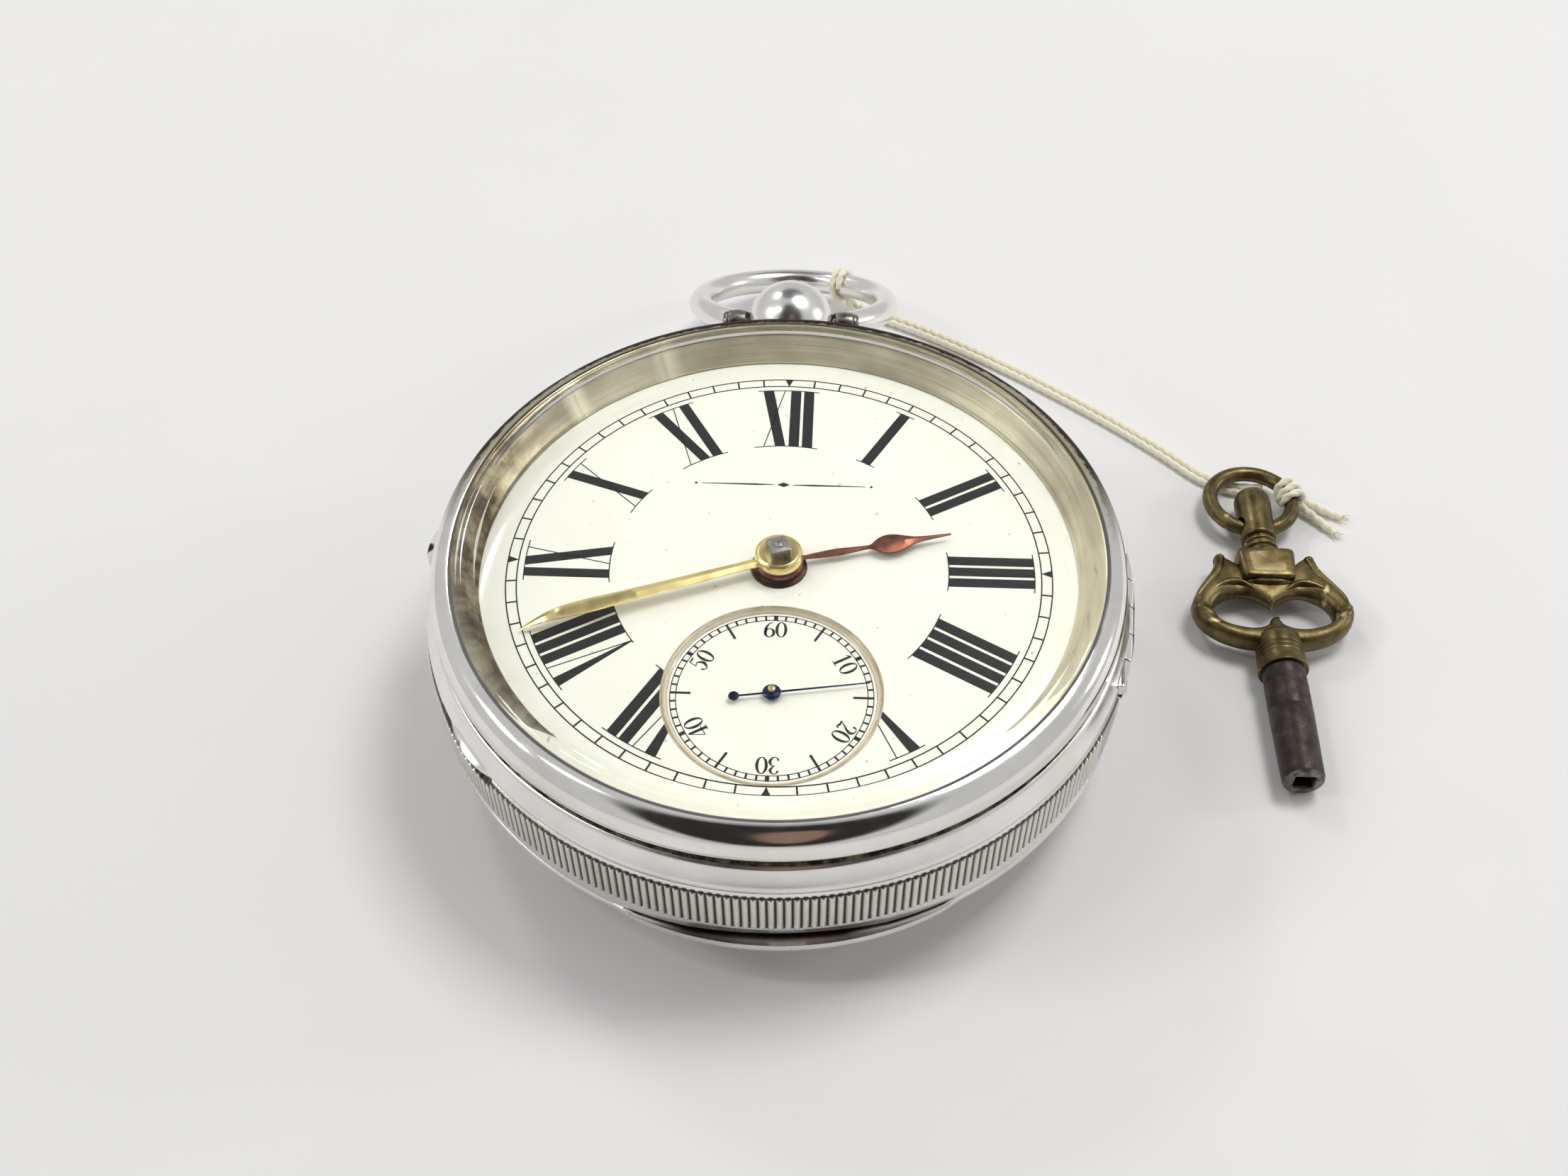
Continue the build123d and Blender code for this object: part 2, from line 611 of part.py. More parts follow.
def make_pillars():
    pillars, screws = [], []
    for n in PILLAR_ANGLES:
        place = away(CENTRE, n, PILLAR_AT)
        ends = (1.3, TOP_PLATE[1], 7.1), (1.3, 9.4, PILLAR_PLATE[0])
        bar = stepped(ends[0], (0.9, 7.1, 9.4), ends[1], (0.5, 9.9, 11.1))
        bar -= Pos(0, 0, TOP_PLATE[1]) * Cylinder(0.5, 1.2, align=BASE)
        pillars.append(at(place, bar))
        screws.append(at(place, slotted_screw(1.1, 0.5, 0.5, TOP_PLATE[0], 7.7)))
    keep("pillars", *pillars)
    keep("plate_screws", *screws)


def slotted_screw(head_r, head_h, shank_r, face_z, top):
    """A screw whose head lies under a face and whose shank goes up into the work."""
    screw = stepped((head_r, face_z - head_h, face_z), (shank_r, face_z, top))
    return screw - Pos(0, 0, face_z - head_h) * Box(2 * head_r + 1, 0.25, 0.4)


def make_jewels():
    """Rubbed-in pierced rubies, one in each plate for each arbor of the train."""
    stones = []
    for low, high, points in (
        (PILLAR_PLATE[0] + 0.2, PILLAR_PLATE[0] + 0.7, (THIRD, ESCAPE, PALLET, BALANCE)),
        (TOP_PLATE[0] + 0.2, TOP_PLATE[0] + 0.7, (THIRD, SECONDS, ESCAPE, PALLET)),
    ):
        stones += [at(p, tube(JEWEL_R, PIVOT_R + RUN, low, high)) for p in points]
    stones.append(at(SECONDS, tube(JEWEL_R, 0.3 + RUN, PILLAR_PLATE[0] + 0.2, PILLAR_PLATE[0] + 0.7)))
    stones.append(at(BALANCE, tube(0.7, PIVOT_R + RUN, COCK[0] + 0.15, COCK[0] + 0.65)))
    keep("jewels", *stones)


# ---- going barrel and winding work --------------------------------------------------------
BARREL_DRUM_R = 8.0
BARREL_LEVELS = (7.4, 9.6)
CLICK_AT = away(BARREL, 20, 5.3)
RATCHET = (4.75, 5.25)


def make_barrel():
    low, high = BARREL_LEVELS
    teeth_turn = meshing(CENTRE_LEAVES, 0, BARREL_TEETH, BARREL_ANGLE)
    teeth = slab(gear_face(BARREL_TEETH, BARREL_MODULE, teeth_turn), high - 0.6, high)
    drum = teeth + Pos(0, 0, low) * Cylinder(BARREL_DRUM_R, high - low, align=BASE)
    drum -= Pos(0, 0, low - 1) * Cylinder(BARREL_DRUM_R - 0.35, high - low + 0.6, align=BASE)
    drum -= Cylinder(1.0 + RUN, 60)
    keep("barrel", at(BARREL, drum))
    cap = tube(BARREL_DRUM_R - 0.35, 1.0 + RUN, low, low + 0.35)
    keep("barrel_cap", at(BARREL, cap))

    keep("mainspring", at(BARREL, slab(spiral(2.4, 7.45, 11, 0.2), low + 0.5, high - 0.6)))

    square = Rot(0, 0, 12) * Box(SQUARE, SQUARE, 60) & stepped((5, 3.0, RATCHET[0]))
    arbor = stepped((1.0, RATCHET[0], PILLAR_PLATE[1] - 0.1), (2.2, low + 0.45, high - 0.55))
    keep("barrel_arbor", at(BARREL, arbor + square))

    teeth, points = 24, []
    for n in range(teeth):
        for radius, share in ((3.0, 0.0), (2.55, 0.06)):
            a = 2 * math.pi * (n + share) / teeth
            points.append((radius * math.cos(a), radius * math.sin(a)))
    ratchet = slab(make_face(Polyline(*points, close=True)) - Circle(1.0), *RATCHET)
    keep("ratchet_wheel", at(BARREL, ratchet))

    nose = away(BARREL, -12, 3.12)
    click = outline(
        away(CLICK_AT, 110, 0.9),
        (away(CLICK_AT, 20, 0.9), away(CLICK_AT, -70, 0.9)),
        away(nose, -12, 0.55),
        nose,
    )
    keep("click", slab(click - Pos(*CLICK_AT) * Circle(0.4 + RUN), *RATCHET))
    screw = slotted_screw(0.75, 0.3, 0.4, RATCHET[0] - 0.02, 6.4)
    keep("click_screw", at(CLICK_AT, screw))
    spring_root = away(BARREL, 75, 6.6)
    spring_tip = away(CLICK_AT, 80, 1.25)
    strip = outline(
        away(spring_root, 0, 0.6),
        (away(BARREL, 52, 6.75), away(spring_tip, 0, 0.1)),
        away(spring_tip, 180, 0.1),
        (away(BARREL, 52, 6.5), away(spring_root, 180, 0.6)),
        (away(spring_root, 90, 0.6), away(spring_root, 0, 0.6)),
    )
    keep("click_spring", slab(strip, 4.95, 5.38))


def spiral(inner, outer, turns, thickness):
    """The face of a flat spiral strip, inner end first."""
    steps = int(turns * 16)

    def side(offset):
        points = []
        for n in range(steps + 1):
            radius = inner + (outer - inner) * n / steps + offset
            a = 2 * math.pi * turns * n / steps
            points.append((radius * math.cos(a), radius * math.sin(a)))
        return points

    near, far = side(-thickness / 2), side(thickness / 2)
    return make_face([Spline(*near), Spline(*far), Line(near[0], far[0]), Line(near[-1], far[-1])])


# ---- the train ----------------------------------------------------------------------------
CENTRE_TURN = 0.0
THIRD_BEARING = bearing(CENTRE, THIRD)
FOURTH_BEARING = bearing(THIRD, SECONDS)
THIRD_TURN = meshing(CENTRE_TEETH, CENTRE_TURN, THIRD_LEAVES, THIRD_BEARING)
FOURTH_TURN = meshing(THIRD_TEETH, THIRD_TURN, FOURTH_LEAVES, FOURTH_BEARING)
ESCAPE_TURN = meshing(FOURTH_TEETH, FOURTH_TURN, ESCAPE_LEAVES, ESCAPE_ANGLE)
CENTRE_LEVEL = (6.85, 7.15)
THIRD_LEVEL = (8.15, 8.45)
FOURTH_LEVEL = (7.4, 7.7)
ESCAPE_LEVEL = (8.9, 9.15)
CENTRE_PINION = (8.85, 9.75)


def arbor(radius, low, high, pinion, leaves_low, leaves_high, pivot=PIVOT_R, bottom=None, top=None):
    """An arbor with its pinion leaves and its two pivots, which run in the plates."""
    bottom = TOP_PLATE[0] + 0.15 if bottom is None else bottom
    top = PILLAR_PLATE[1] - 0.15 if top is None else top
    body = stepped((pivot, bottom, low), (radius, low, high), (pivot, high, top))
    return body + slab(pinion, leaves_low, leaves_high)


def make_train():
    # centre: its arbor goes up through the pillar plate and carries the cannon pinion
    wheel = crossed(gear_face(CENTRE_TEETH, CENTRE_MODULE), 7.2, 1.9, 1.06, 5, 0.7)
    keep("centre_wheel", slab(wheel, *CENTRE_LEVEL))
    pinion = slab(gear_face(CENTRE_LEAVES, BARREL_MODULE), *CENTRE_PINION)
    staff = stepped((CENTRE_ARBOR_R, TOP_PLATE[0] + 0.1, 14.35), (1.05, 6.8, CENTRE_PINION[0]))
    keep("centre_arbor", staff + pinion)

    wheel = crossed(gear_face(THIRD_TEETH, THIRD_MODULE, THIRD_TURN), 6.1, 1.4, 0.45, 5, 0.6)
    keep("third_wheel", at(THIRD, slab(wheel, *THIRD_LEVEL)))
    leaves = gear_face(THIRD_LEAVES, CENTRE_MODULE, THIRD_TURN)
    keep("third_arbor", at(THIRD, arbor(0.44, 6.75, 9.8, leaves, 6.78, 7.3)))

    wheel = crossed(gear_face(FOURTH_TEETH, FOURTH_MODULE, FOURTH_TURN), 4.7, 1.2, 0.45, 4, 0.5)
    keep("fourth_wheel", at(SECONDS, slab(wheel, *FOURTH_LEVEL)))
    leaves = gear_face(FOURTH_LEAVES, THIRD_MODULE, FOURTH_TURN)
    staff = arbor(0.44, 6.75, 9.8, leaves, 7.9, 8.65, top=10.0)
    staff += stepped((0.3, 9.8, 12.6), (0.21, 12.6, SECONDS_HAND_Z + 0.2))
    keep("fourth_arbor", at(SECONDS, staff))

    keep("escape_wheel", at(ESCAPE, escape_wheel()))
    leaves = gear_face(ESCAPE_LEAVES, FOURTH_MODULE, ESCAPE_TURN)
    keep("escape_arbor", at(ESCAPE, arbor(0.3, 6.75, 9.8, leaves, 7.1, 7.9)))


def escape_wheel():
    """Fifteen pointed club teeth, set so that each pallet stone faces the space beside one."""
    pitch = 360 / ESCAPE_TEETH
    first = LEVER_ANGLE + PALLET_SPAN / 2 + 6
    points = []
    for n in range(ESCAPE_TEETH):
        for radius, turn in ((2.75, -0.5), (ESCAPE_R, 0.0), (ESCAPE_R, 3.2), (2.75, 5.0)):
            points.append(away((0, 0), first + n * pitch + turn, radius))
    face = crossed(make_face(Polyline(*points, close=True)), 2.35, 0.8, 0.31, 4, 0.35)
    return slab(face, *ESCAPE_LEVEL)


# ---- escapement and balance ---------------------------------------------------------------
PALLET_SPAN = 60  # degrees of the escape wheel between the two stones
LEVER_LEVEL = (8.85, 9.2)
ROLLER = (8.2, 8.55)
BALANCE_LEVEL = (3.9, 4.8)
COCK = (3.15, 3.65)
COCK_SCREW_R, COCK_SCREW_SINK = 1.0, 0.35
BALANCE_R = 6.5


def make_pallet():
    stone_r = ESCAPE_R + 0.08
    left = away(ESCAPE, LEVER_ANGLE + PALLET_SPAN / 2, stone_r)
    right = away(ESCAPE, LEVER_ANGLE - PALLET_SPAN / 2, stone_r)
    body = Pos(*PALLET) * Circle(0.75)
    stones = []
    for tip, side in ((left, 1), (right, -1)):
        root = away(tip, LEVER_ANGLE + side * 8, 1.5)
        body += bar_face(PALLET, root, 0.32)
        stones.append(slab(bar_face(tip, root, 0.17, square=True), *LEVER_LEVEL))
    fork = away(PALLET, LEVER_ANGLE, 3.5)
    body += bar_face(PALLET, fork, 0.22)
    for side in (-1, 1):
        horn = away(away(fork, LEVER_ANGLE, 0.45), LEVER_ANGLE + 90 * side, 0.45)
        body += bar_face(away(fork, LEVER_ANGLE + 180, 0.2), horn, 0.16)
    body -= Pos(*PALLET) * Circle(0.3)
    lever = slab(body, *LEVER_LEVEL)
    for stone in stones:
        lever -= stone
    keep("pallet_lever", lever)
    keep("pallet_stones", *stones)
    staff = stepped((PIVOT_R, TOP_PLATE[0] + 0.15, 6.8), (0.3, 6.8, 9.7), (PIVOT_R, 9.7, 11.05))
    keep("pallet_arbor", at(PALLET, staff))


def bar_face(start, end, half, square=False):
    """A flat bar between two points, round-ended unless it is square."""
    length = math.dist(start, end)
    face = Pos(length / 2, 0) * Rectangle(length, 2 * half)
    if not square:
        face += Circle(half) + Pos(length, 0) * Circle(half)
    return Pos(*start) * Rot(0, 0, bearing(start, end)) * face


def make_balance():
    low, high = BALANCE_LEVEL
    rim = tube(BALANCE_R, BALANCE_R - 0.75, low, high)
    arms = slab(crossed(Circle(BALANCE_R - 0.6), BALANCE_R - 0.8, 1.0, 0.42, 3, 0.7), high - 0.4, high)
    keep("balance_wheel", at(BALANCE, rim + arms))
    screws = []
    for n in range(12):
        shank = rod((BALANCE_R - 0.3, 0, 0), (BALANCE_R + 0.25, 0, 0), 0.16)
        head = rod((BALANCE_R + 0.02, 0, 0), (BALANCE_R + 0.5, 0, 0), 0.32)
        screws.append(at(BALANCE, Pos(0, 0, (low + high) / 2) * Rot(0, 0, 15 + 30 * n) * (shank + head)))
    keep("timing_screws", *screws)
    for screw in screws:
        PARTS["balance_wheel"] -= screw
    top = PILLAR_PLATE[0] + 0.9
    staff = stepped((PIVOT_R, COCK[0] + 0.2, 3.85), (0.41, 3.85, 9.6), (PIVOT_R, 9.6, top))
    keep("balance_staff", at(BALANCE, staff))
    roller = tube(1.35, 0.42, *ROLLER)
    pin = away((0, 0), LEVER_ANGLE + 180, 1.0)
    roller += Pos(*pin, ROLLER[1]) * Cylinder(0.16, 0.2, align=BASE)
    keep("roller", at(BALANCE, roller))
    coil = slab(spiral(0.75, 2.9, 9, 0.07), 4.95, 5.15)
    collet = tube(0.7, 0.42, 4.9, 5.2)
    keep("hairspring", at(BALANCE, coil + collet))


def make_cock():
    low, high = COCK
    foot_angle = bearing(BALANCE, COCK_FOOT)
    table = Pos(*BALANCE) * Circle(2.6) + bar_face(BALANCE, COCK_FOOT, 1.5)
    table += Pos(*COCK_FOOT) * Circle(1.7)
    cock = slab(table, low, high) + at(COCK_FOOT, stepped((1.7, high, TOP_PLATE[0])))
    cock -= at(COCK_FOOT, Cylinder(0.5, 60))
    cock -= at(COCK_FOOT, Pos(0, 0, low) * Cylinder(COCK_SCREW_R, COCK_SCREW_SINK, align=BASE))
    cock -= at(BALANCE, Cylinder(0.7, 60))
    keep("balance_cock", cock)
    keep("cock_screw", at(COCK_FOOT, slotted_screw(COCK_SCREW_R, 0.35, 0.5, low + COCK_SCREW_SINK, 6.2)))
    pointer = away(BALANCE, foot_angle + 180, 3.9)
    index = Pos(*BALANCE) * Circle(1.5) + bar_face(BALANCE, pointer, 0.22)
    index -= Pos(*BALANCE) * Circle(0.75)
    keep("regulator", slab(index, low - 0.3, low - 0.03))


# ---- key ----------------------------------------------------------------------------------
def key_bar(*steps):
    """Round steps along the key's axis, as (radius, low y, high y)."""
    bar = Part()
    for radius, low, high in steps:
        bar += rod((KEY_X, low, KEY_Z), (KEY_X, high, KEY_Z), radius)
    return bar


def key_loop():
    """The kidney-shaped grip: an open loop with a point inward from above and from below."""
    outer = outline(
        (-2.6, 10.4),
        ((-5.6, 9.0), (-6.5, 6.6)),
        ((-5.2, 3.9), (-1.8, 3.0)),
        (1.8, 3.0),
        ((5.2, 3.9), (6.5, 6.6)),
        ((5.6, 9.0), (2.6, 10.4)),
    )
    inner = outline(
        (0, 7.0),
        ((-1.7, 8.3), (-3.6, 8.0)),
        ((-4.9, 6.5), (-3.6, 4.9)),
        ((-1.6, 4.7), (0, 5.9)),
        ((1.6, 4.7), (3.6, 4.9)),
        ((4.9, 6.5), (3.6, 8.0)),
        ((1.7, 8.3), (0, 7.0)),
    )
    return Pos(KEY_X, 0, 0) * slab(outer - inner, KEY_Z - 0.9, KEY_Z + 0.9)


def make_key():
    ferrule = (2.0, 0.5, 2.4), (1.75, 2.4, 3.9)
    head = (1.1, 13.0, 14.2), (1.35, 14.2, 14.6), (1.5, 14.6, 20.0)
    grip = key_bar(*ferrule, *head)
    block = Pos(KEY_X, 11.2, KEY_Z) * Box(5.0, 3.8, 2.9)
    grip += fillet(block.edges().filter_by(Axis.Z), 0.6) + key_loop()
    grip -= rod((KEY_X - 4, KEY_EYE_Y, KEY_Z), (KEY_X + 4, KEY_EYE_Y, KEY_Z), 0.95)
    grip -= rod((KEY_X, 0.4, KEY_Z), (KEY_X, 3.4, KEY_Z), 1.2)
    grip -= Pos(0, 0, -1) * Box(200, 200, 2)
    keep("key_handle", grip)
    pipe = key_bar((PIPE_R, -10.0, 0.5), (1.2, 0.5, 3.4))
    socket = Pos(KEY_X, -10.0, KEY_Z) * Box(SQUARE + 0.1, 8.0, SQUARE + 0.1)
    keep("key_pipe", pipe - socket)
    tilt = math.degrees(math.atan2(KEY_Z - KEY_RING_LIFT, 2 * KEY_RING_R))
    ring = Torus(KEY_RING_R, KEY_RING_TUBE)
    hung = Pos(KEY_X, KEY_EYE_Y - 0.17, KEY_Z) * Rot(-tilt, 0, 0)
    keep("key_ring", hung * Pos(0, KEY_RING_R, 0) * ring)


# ---- string -------------------------------------------------------------------------------
def rounded_path(points):
    """Straight runs joined by the largest tangent arcs that they allow, and the arcs' radii."""
    points = [Vector(*p) for p in points]
    radii = []
    for before, here, after in zip(points, points[1:], points[2:]):
        turn = math.radians((here - before).get_angle(after - here))
        shorter = min((here - before).length, (after - here).length)
        radii.append(0.45 * shorter / math.tan(turn / 2))
    return FilletPolyline(*points, radius=radii), radii


def cord(points, radius):
    path, radii = rounded_path(points)
    body = sweep(Plane(path @ 0, z_dir=path % 0) * Circle(radius), path=path)
    print("cord radii", [round(r, 1) for r in radii], "length", round(path.length, 1))
    full = math.pi * radius**2 * path.length
    print("  volume over section times length", round(body.volume / full, 4))
    return body


def beside(points, offset):
    """The route moved sideways, level, by an offset."""
    moved = []
    for n, point in enumerate(points):
        before, after = points[max(n - 1, 0)], points[min(n + 1, len(points) - 1)]
        dx, dy = after[0] - before[0], after[1] - before[1]
        size = math.hypot(dx, dy)
        moved.append((point[0] - dy / size * offset, point[1] + dx / size * offset, point[2]))
    return moved


def make_string():
    apart = STRING_R + STRAND_GAP / 2
    keep("string_strand_near", cord(beside(STRING_ROUTE, -apart), STRING_R))
    keep("string_strand_far", cord(beside(STRING_ROUTE, apart), STRING_R))
    keep("string_tails", *[cord(route, STRING_R) for route in TAIL_ROUTES])

    # two turns round the bow's ring, and two round the key's ring with the knot on them
    x, y = bow_point(HITCH_AT)
    turn = Torus(BOW_TUBE_R + STRING_R + 0.08, STRING_R)
    hold = bow_frame() * Pos(x, y, 0) * Rot(0, 0, HITCH_AT)
    keep("bow_hitch", *[hold * Pos(apart * s, 0, 0) * Rot(0, 90, 0) * turn for s in (-1, 1)])
    turn = Torus(KEY_RING_TUBE + STRING_R + 0.1, STRING_R)
    hold = Pos(KEY_X + KEY_RING_R - 0.06, KEY_RING_Y + 0.9, 1.62) * Rot(0, 0, KNOT_TURN)
    keep("string_knot", *[hold * Pos(0, apart * s, 0) * Rot(90, 0, 0) * turn for s in (-1, 1)])


def main():
    make_case_band()
    make_pendant()
    make_bow()
    make_bow_screws()
    make_bezel()
    make_crystal()
    make_back_cover()
    make_inner_dome()
    keep("bezel_hinge_pin", hinge_pin(BEZEL_HINGE_AT, BEZEL_HINGE_Z, BEZEL_HINGE_L - 0.4))
    keep("back_hinge_pin", hinge_pin(0, BACK_HINGE_Z, BACK_HINGE_L - 0.4))
    make_dial()
    make_dial_feet()
    make_hour_hand()
    make_minute_hand()
    make_seconds_hand()
    make_motion_work()
    make_plates()
    make_pillars()
    make_jewels()
    make_barrel()
    make_train()
    make_pallet()
    make_balance()
    make_cock()
    make_key()
    make_string()
    os.makedirs("parts", exist_ok=True)
    for name, shape in PARTS.items():
        export_step(shape, f"parts/{name}.step")
    print(len(PARTS), "nodes")


main()
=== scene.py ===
import json
import math
import random

import bmesh
import bpy
import numpy as np
from mathutils import Matrix, Vector


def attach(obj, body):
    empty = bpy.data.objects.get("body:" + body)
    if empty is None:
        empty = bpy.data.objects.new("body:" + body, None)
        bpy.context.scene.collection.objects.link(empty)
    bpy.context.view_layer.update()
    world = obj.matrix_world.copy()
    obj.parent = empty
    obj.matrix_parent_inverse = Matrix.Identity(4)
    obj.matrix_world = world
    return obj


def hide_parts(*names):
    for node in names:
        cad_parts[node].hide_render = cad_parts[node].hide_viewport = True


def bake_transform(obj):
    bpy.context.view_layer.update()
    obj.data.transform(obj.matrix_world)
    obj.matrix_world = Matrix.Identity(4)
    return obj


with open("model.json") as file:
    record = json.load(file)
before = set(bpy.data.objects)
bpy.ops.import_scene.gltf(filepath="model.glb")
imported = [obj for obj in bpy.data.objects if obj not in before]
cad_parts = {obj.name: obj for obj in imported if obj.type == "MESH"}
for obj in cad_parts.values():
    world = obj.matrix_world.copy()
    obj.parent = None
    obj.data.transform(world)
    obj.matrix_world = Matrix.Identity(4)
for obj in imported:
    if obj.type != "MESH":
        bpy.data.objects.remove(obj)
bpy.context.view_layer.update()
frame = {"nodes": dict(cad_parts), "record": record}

# Lengths below are millimetres until a mesh is made. The frame is the CAD's: +Z comes up
# through the dial, and +Y points at twelve o'clock.
MM = 0.001
TINY = 1e-9
DOUBLED = 2e-7  # metres, nearer than which two points are one
CORNER_LEAST, CORNER_STEPS = 18, 4  # degrees of turn that make a corner, and steps that round it

# ---- main dimensions ------------------------------------------------------------------------
# These are the CAD's, but the pendant, the bow's reach and droop, and the hands' heights and
# angles differ from it by up to 1.3 mm.
TRACK_R = 20.4
DIAL_Z, DIAL_R, DIAL_T = 13.4, 22.7, 0.8
CASE_R, REED_R, REEDS = 26.5, 26.75, 285
REED_LOW, REED_HIGH = 6.7, 10.7
REED_DEEP = 0.22
SEAM_Z, BACK_SEAM_Z = 11.2, 5.4
CRYSTAL_TOP = 17.3
GAP = 0.1
BEZEL_HINGE_AT, THUMB_AT, NAIL_LIP_AT, BACK_LIP_AT = 96, 276, 233, 176
HINGE_D, HINGE_TUBE_R, HINGE_FLUSH_R, PIN_HOLE_R = 25.9, 0.85, 26.8, 0.46
BEZEL_HINGE = (BEZEL_HINGE_AT, SEAM_Z, 13.0, 5)  # clock angle, height, length and count of knuckles
BACK_HINGE = (0, 5.35, 14.0, 7)
PENDANT_X, PENDANT_Y, PENDANT_Z, PENDANT_R = -0.4, 32.8, 8.9, 3.85
BOW_RING_R, BOW_TUBE_R, BOW_REACH, BOW_DROOP = 8.6, 1.1, 7.3, 25.7
HITCH_AT = 150
SECONDS_Y, SUBDIAL_SUNK = -11.7, 0.35
SQUARE, SQUARE_TURN = 1.5, 20
MINUTE_HAND_AT, HOUR_HAND_AT, SECONDS_HAND_AT = 249.4, 76.0, 81.0
MINUTE_HAND_Z, HOUR_HAND_Z, SECONDS_HAND_Z = 14.45, 13.95, 13.40
KEY_X, KEY_Z, PIPE_R, KEY_EYE_Y = 40.2, 1.75, 1.7, 16.0
KEY_RING_Y, KEY_RING_R, KEY_RING_TUBE, KEY_RING_LIFT = 19.33, 3.5, 0.65, 1.4
STRING_R, STRAND_GAP = 0.33, 0.06
STRAND_OFFSET = STRING_R + STRAND_GAP / 2
ROUTE_FINENESS, COIL_STEPS = 24, 40  # points for a stretch of a route, and for a turn of a coil

STRING_ROUTE = [
    (5.6, 44.9, 0.45),
    (9.4, 43.4, 0.36),
    (14.4, 40.6, 0.36),
    (20.0, 37.0, 0.36),
    (27.3, 31.6, 0.36),
    (33.6, 26.2, 0.36),
    (36.6, 23.0, 0.36),
    (39.4, 21.7, 0.36),
    (41.7, 21.5, 0.75),
]
TAIL_ROUTES = [
    [(44.9, 20.5, 0.7), (46.3, 19.9, 0.40), (48.2, 18.8, 0.36)],
    [(44.7, 19.8, 0.7), (45.9, 18.7, 0.40), (47.4, 16.9, 0.36)],
]

random.seed(7)


# ---- geometry helpers -----------------------------------------------------------------------
def polar(clock, radius, z=0.0):
    """A point at a clock angle and radius from the watch's centre."""
    a = math.radians(90 - clock)
    return np.array([radius * math.cos(a), radius * math.sin(a), z])


def clock_of(theta):
    """The clock angle of a mathematical angle in radians, from 0 to 360."""
    return (90 - np.degrees(theta)) % 360


def from_clock(clock, middle):
    """How far a clock angle is from a middle one, in degrees, from -180 to 180."""
    return (clock - middle + 180) % 360 - 180


def arc(a, b, c, detail):
    """Points on the circle through three points, after a, up to c."""
    (ax, ay), (bx, by), (cx, cy) = a, b, c
    d = 2 * (ax * (by - cy) + bx * (cy - ay) + cx * (ay - by))
    sa, sb, sc = ax * ax + ay * ay, bx * bx + by * by, cx * cx + cy * cy
    ux = (sa * (by - cy) + sb * (cy - ay) + sc * (ay - by)) / d
    uy = (sa * (cx - bx) + sb * (ax - cx) + sc * (bx - ax)) / d
    r = math.hypot(ax - ux, ay - uy)
    s, m, e = (math.atan2(y - uy, x - ux) for x, y in (a, b, c))
    full = 2 * math.pi
    sweep = (e - s) % full
    if (m - s) % full > sweep:
        sweep -= full
    turns = [s + sweep * n / detail for n in range(1, detail + 1)]
    return [(ux + r * math.cos(t), uy + r * math.sin(t)) for t in turns]


def outline(start, *steps, detail=10):
    """A list of points. A step is the next corner, or a (middle, end) pair for an arc."""
    points = [start]
    for step in steps:
        if isinstance(step[0], tuple):
            points += arc(points[-1], step[0], step[1], detail)
        else:
            points.append(step)
    return points


def softened(points, radius, closed=True):
    """The outline with its corners rounded a little, as worn metal has them."""
    done, count = [], len(points)
    for n, here in enumerate(points):
        p, h, q = (np.array(points[(n + k) % count], float) for k in (-1, 0, 1))
        before, after = h - p, q - h
        lb, la = np.linalg.norm(before), np.linalg.norm(after)
        open_end = not closed and n in (0, count - 1)
        if not open_end and min(lb, la) < TINY:
            continue
        turn = 0 if open_end else math.degrees(math.acos(np.clip(before @ after / lb / la, -1, 1)))
        if turn < CORNER_LEAST:
            done.append(here)
            continue
        cut = min(radius, 0.42 * lb, 0.42 * la)
        a, b = h - before / lb * cut, h + after / la * cut
        for k in range(CORNER_STEPS + 1):
            t = k / CORNER_STEPS
            done.append(tuple((1 - t) ** 2 * a + 2 * t * (1 - t) * h + t * t * b))
    return done


def densified(points, step):
    """The outline with long straight runs split into steps."""
    done = []
    for n, here in enumerate(points):
        there = points[(n + 1) % len(points)]
        parts = int(math.dist(here, there) // step) + 1
        way = np.array(there) - np.array(here)
        done += [here, *(tuple(np.array(here) + way * k / parts) for k in range(1, parts))]
    return done


def grid_faces(rows, cols, wrap_rows=True, wrap_cols=True):
    """Quads between a grid's points, which are numbered row by row."""
    row, col = np.arange(rows if wrap_rows else rows - 1), np.arange(cols if wrap_cols else cols - 1)
    i, j = np.meshgrid(row, col, indexing="ij")
    k, m = (i + 1) % rows, (j + 1) % cols
    quads = np.stack([i * cols + j, k * cols + j, k * cols + m, i * cols + m], -1)
    return quads.reshape(-1, 4)


class Shape:
    """Points and faces of a piece as it is put together, with a material number per face."""

    def __init__(self):
        self.points, self.faces, self.kinds, self.count = [], [], [], 0

    def add(self, points, faces, kind=0):
        points = np.asarray(points, float).reshape(-1, 3)
        self.points.append(points)
        self.faces += [tuple(int(i) + self.count for i in f) for f in faces]
        kinds = kind if hasattr(kind, "__len__") else [kind] * len(faces)
        self.kinds += list(kinds)
        self.count += len(points)
        return self

    def add_shape(self, other, matrix=None):
        points = np.concatenate(other.points)
        if matrix is not None:
            m = np.array(matrix)
            points = points @ m[:3, :3].T + m[:3, 3]
        return self.add(points, other.faces, other.kinds)

    def moved(self, matrix):
        """The same shape in another place."""
        return Shape().add_shape(self, matrix)


def lofted(rings, closed=False):
    """A skin over rings of equally many points, with its two ends shut unless it is closed."""
    rings = np.asarray(rings, float)
    count, sides = rings.shape[:2]
    shape = Shape().add(rings, grid_faces(count, sides, closed, True), 0)
    if not closed:
        last = (count - 1) * sides
        shape.faces += [tuple(range(sides)), tuple(range(last + sides - 1, last - 1, -1))]
        shape.kinds += [0, 0]
    return shape


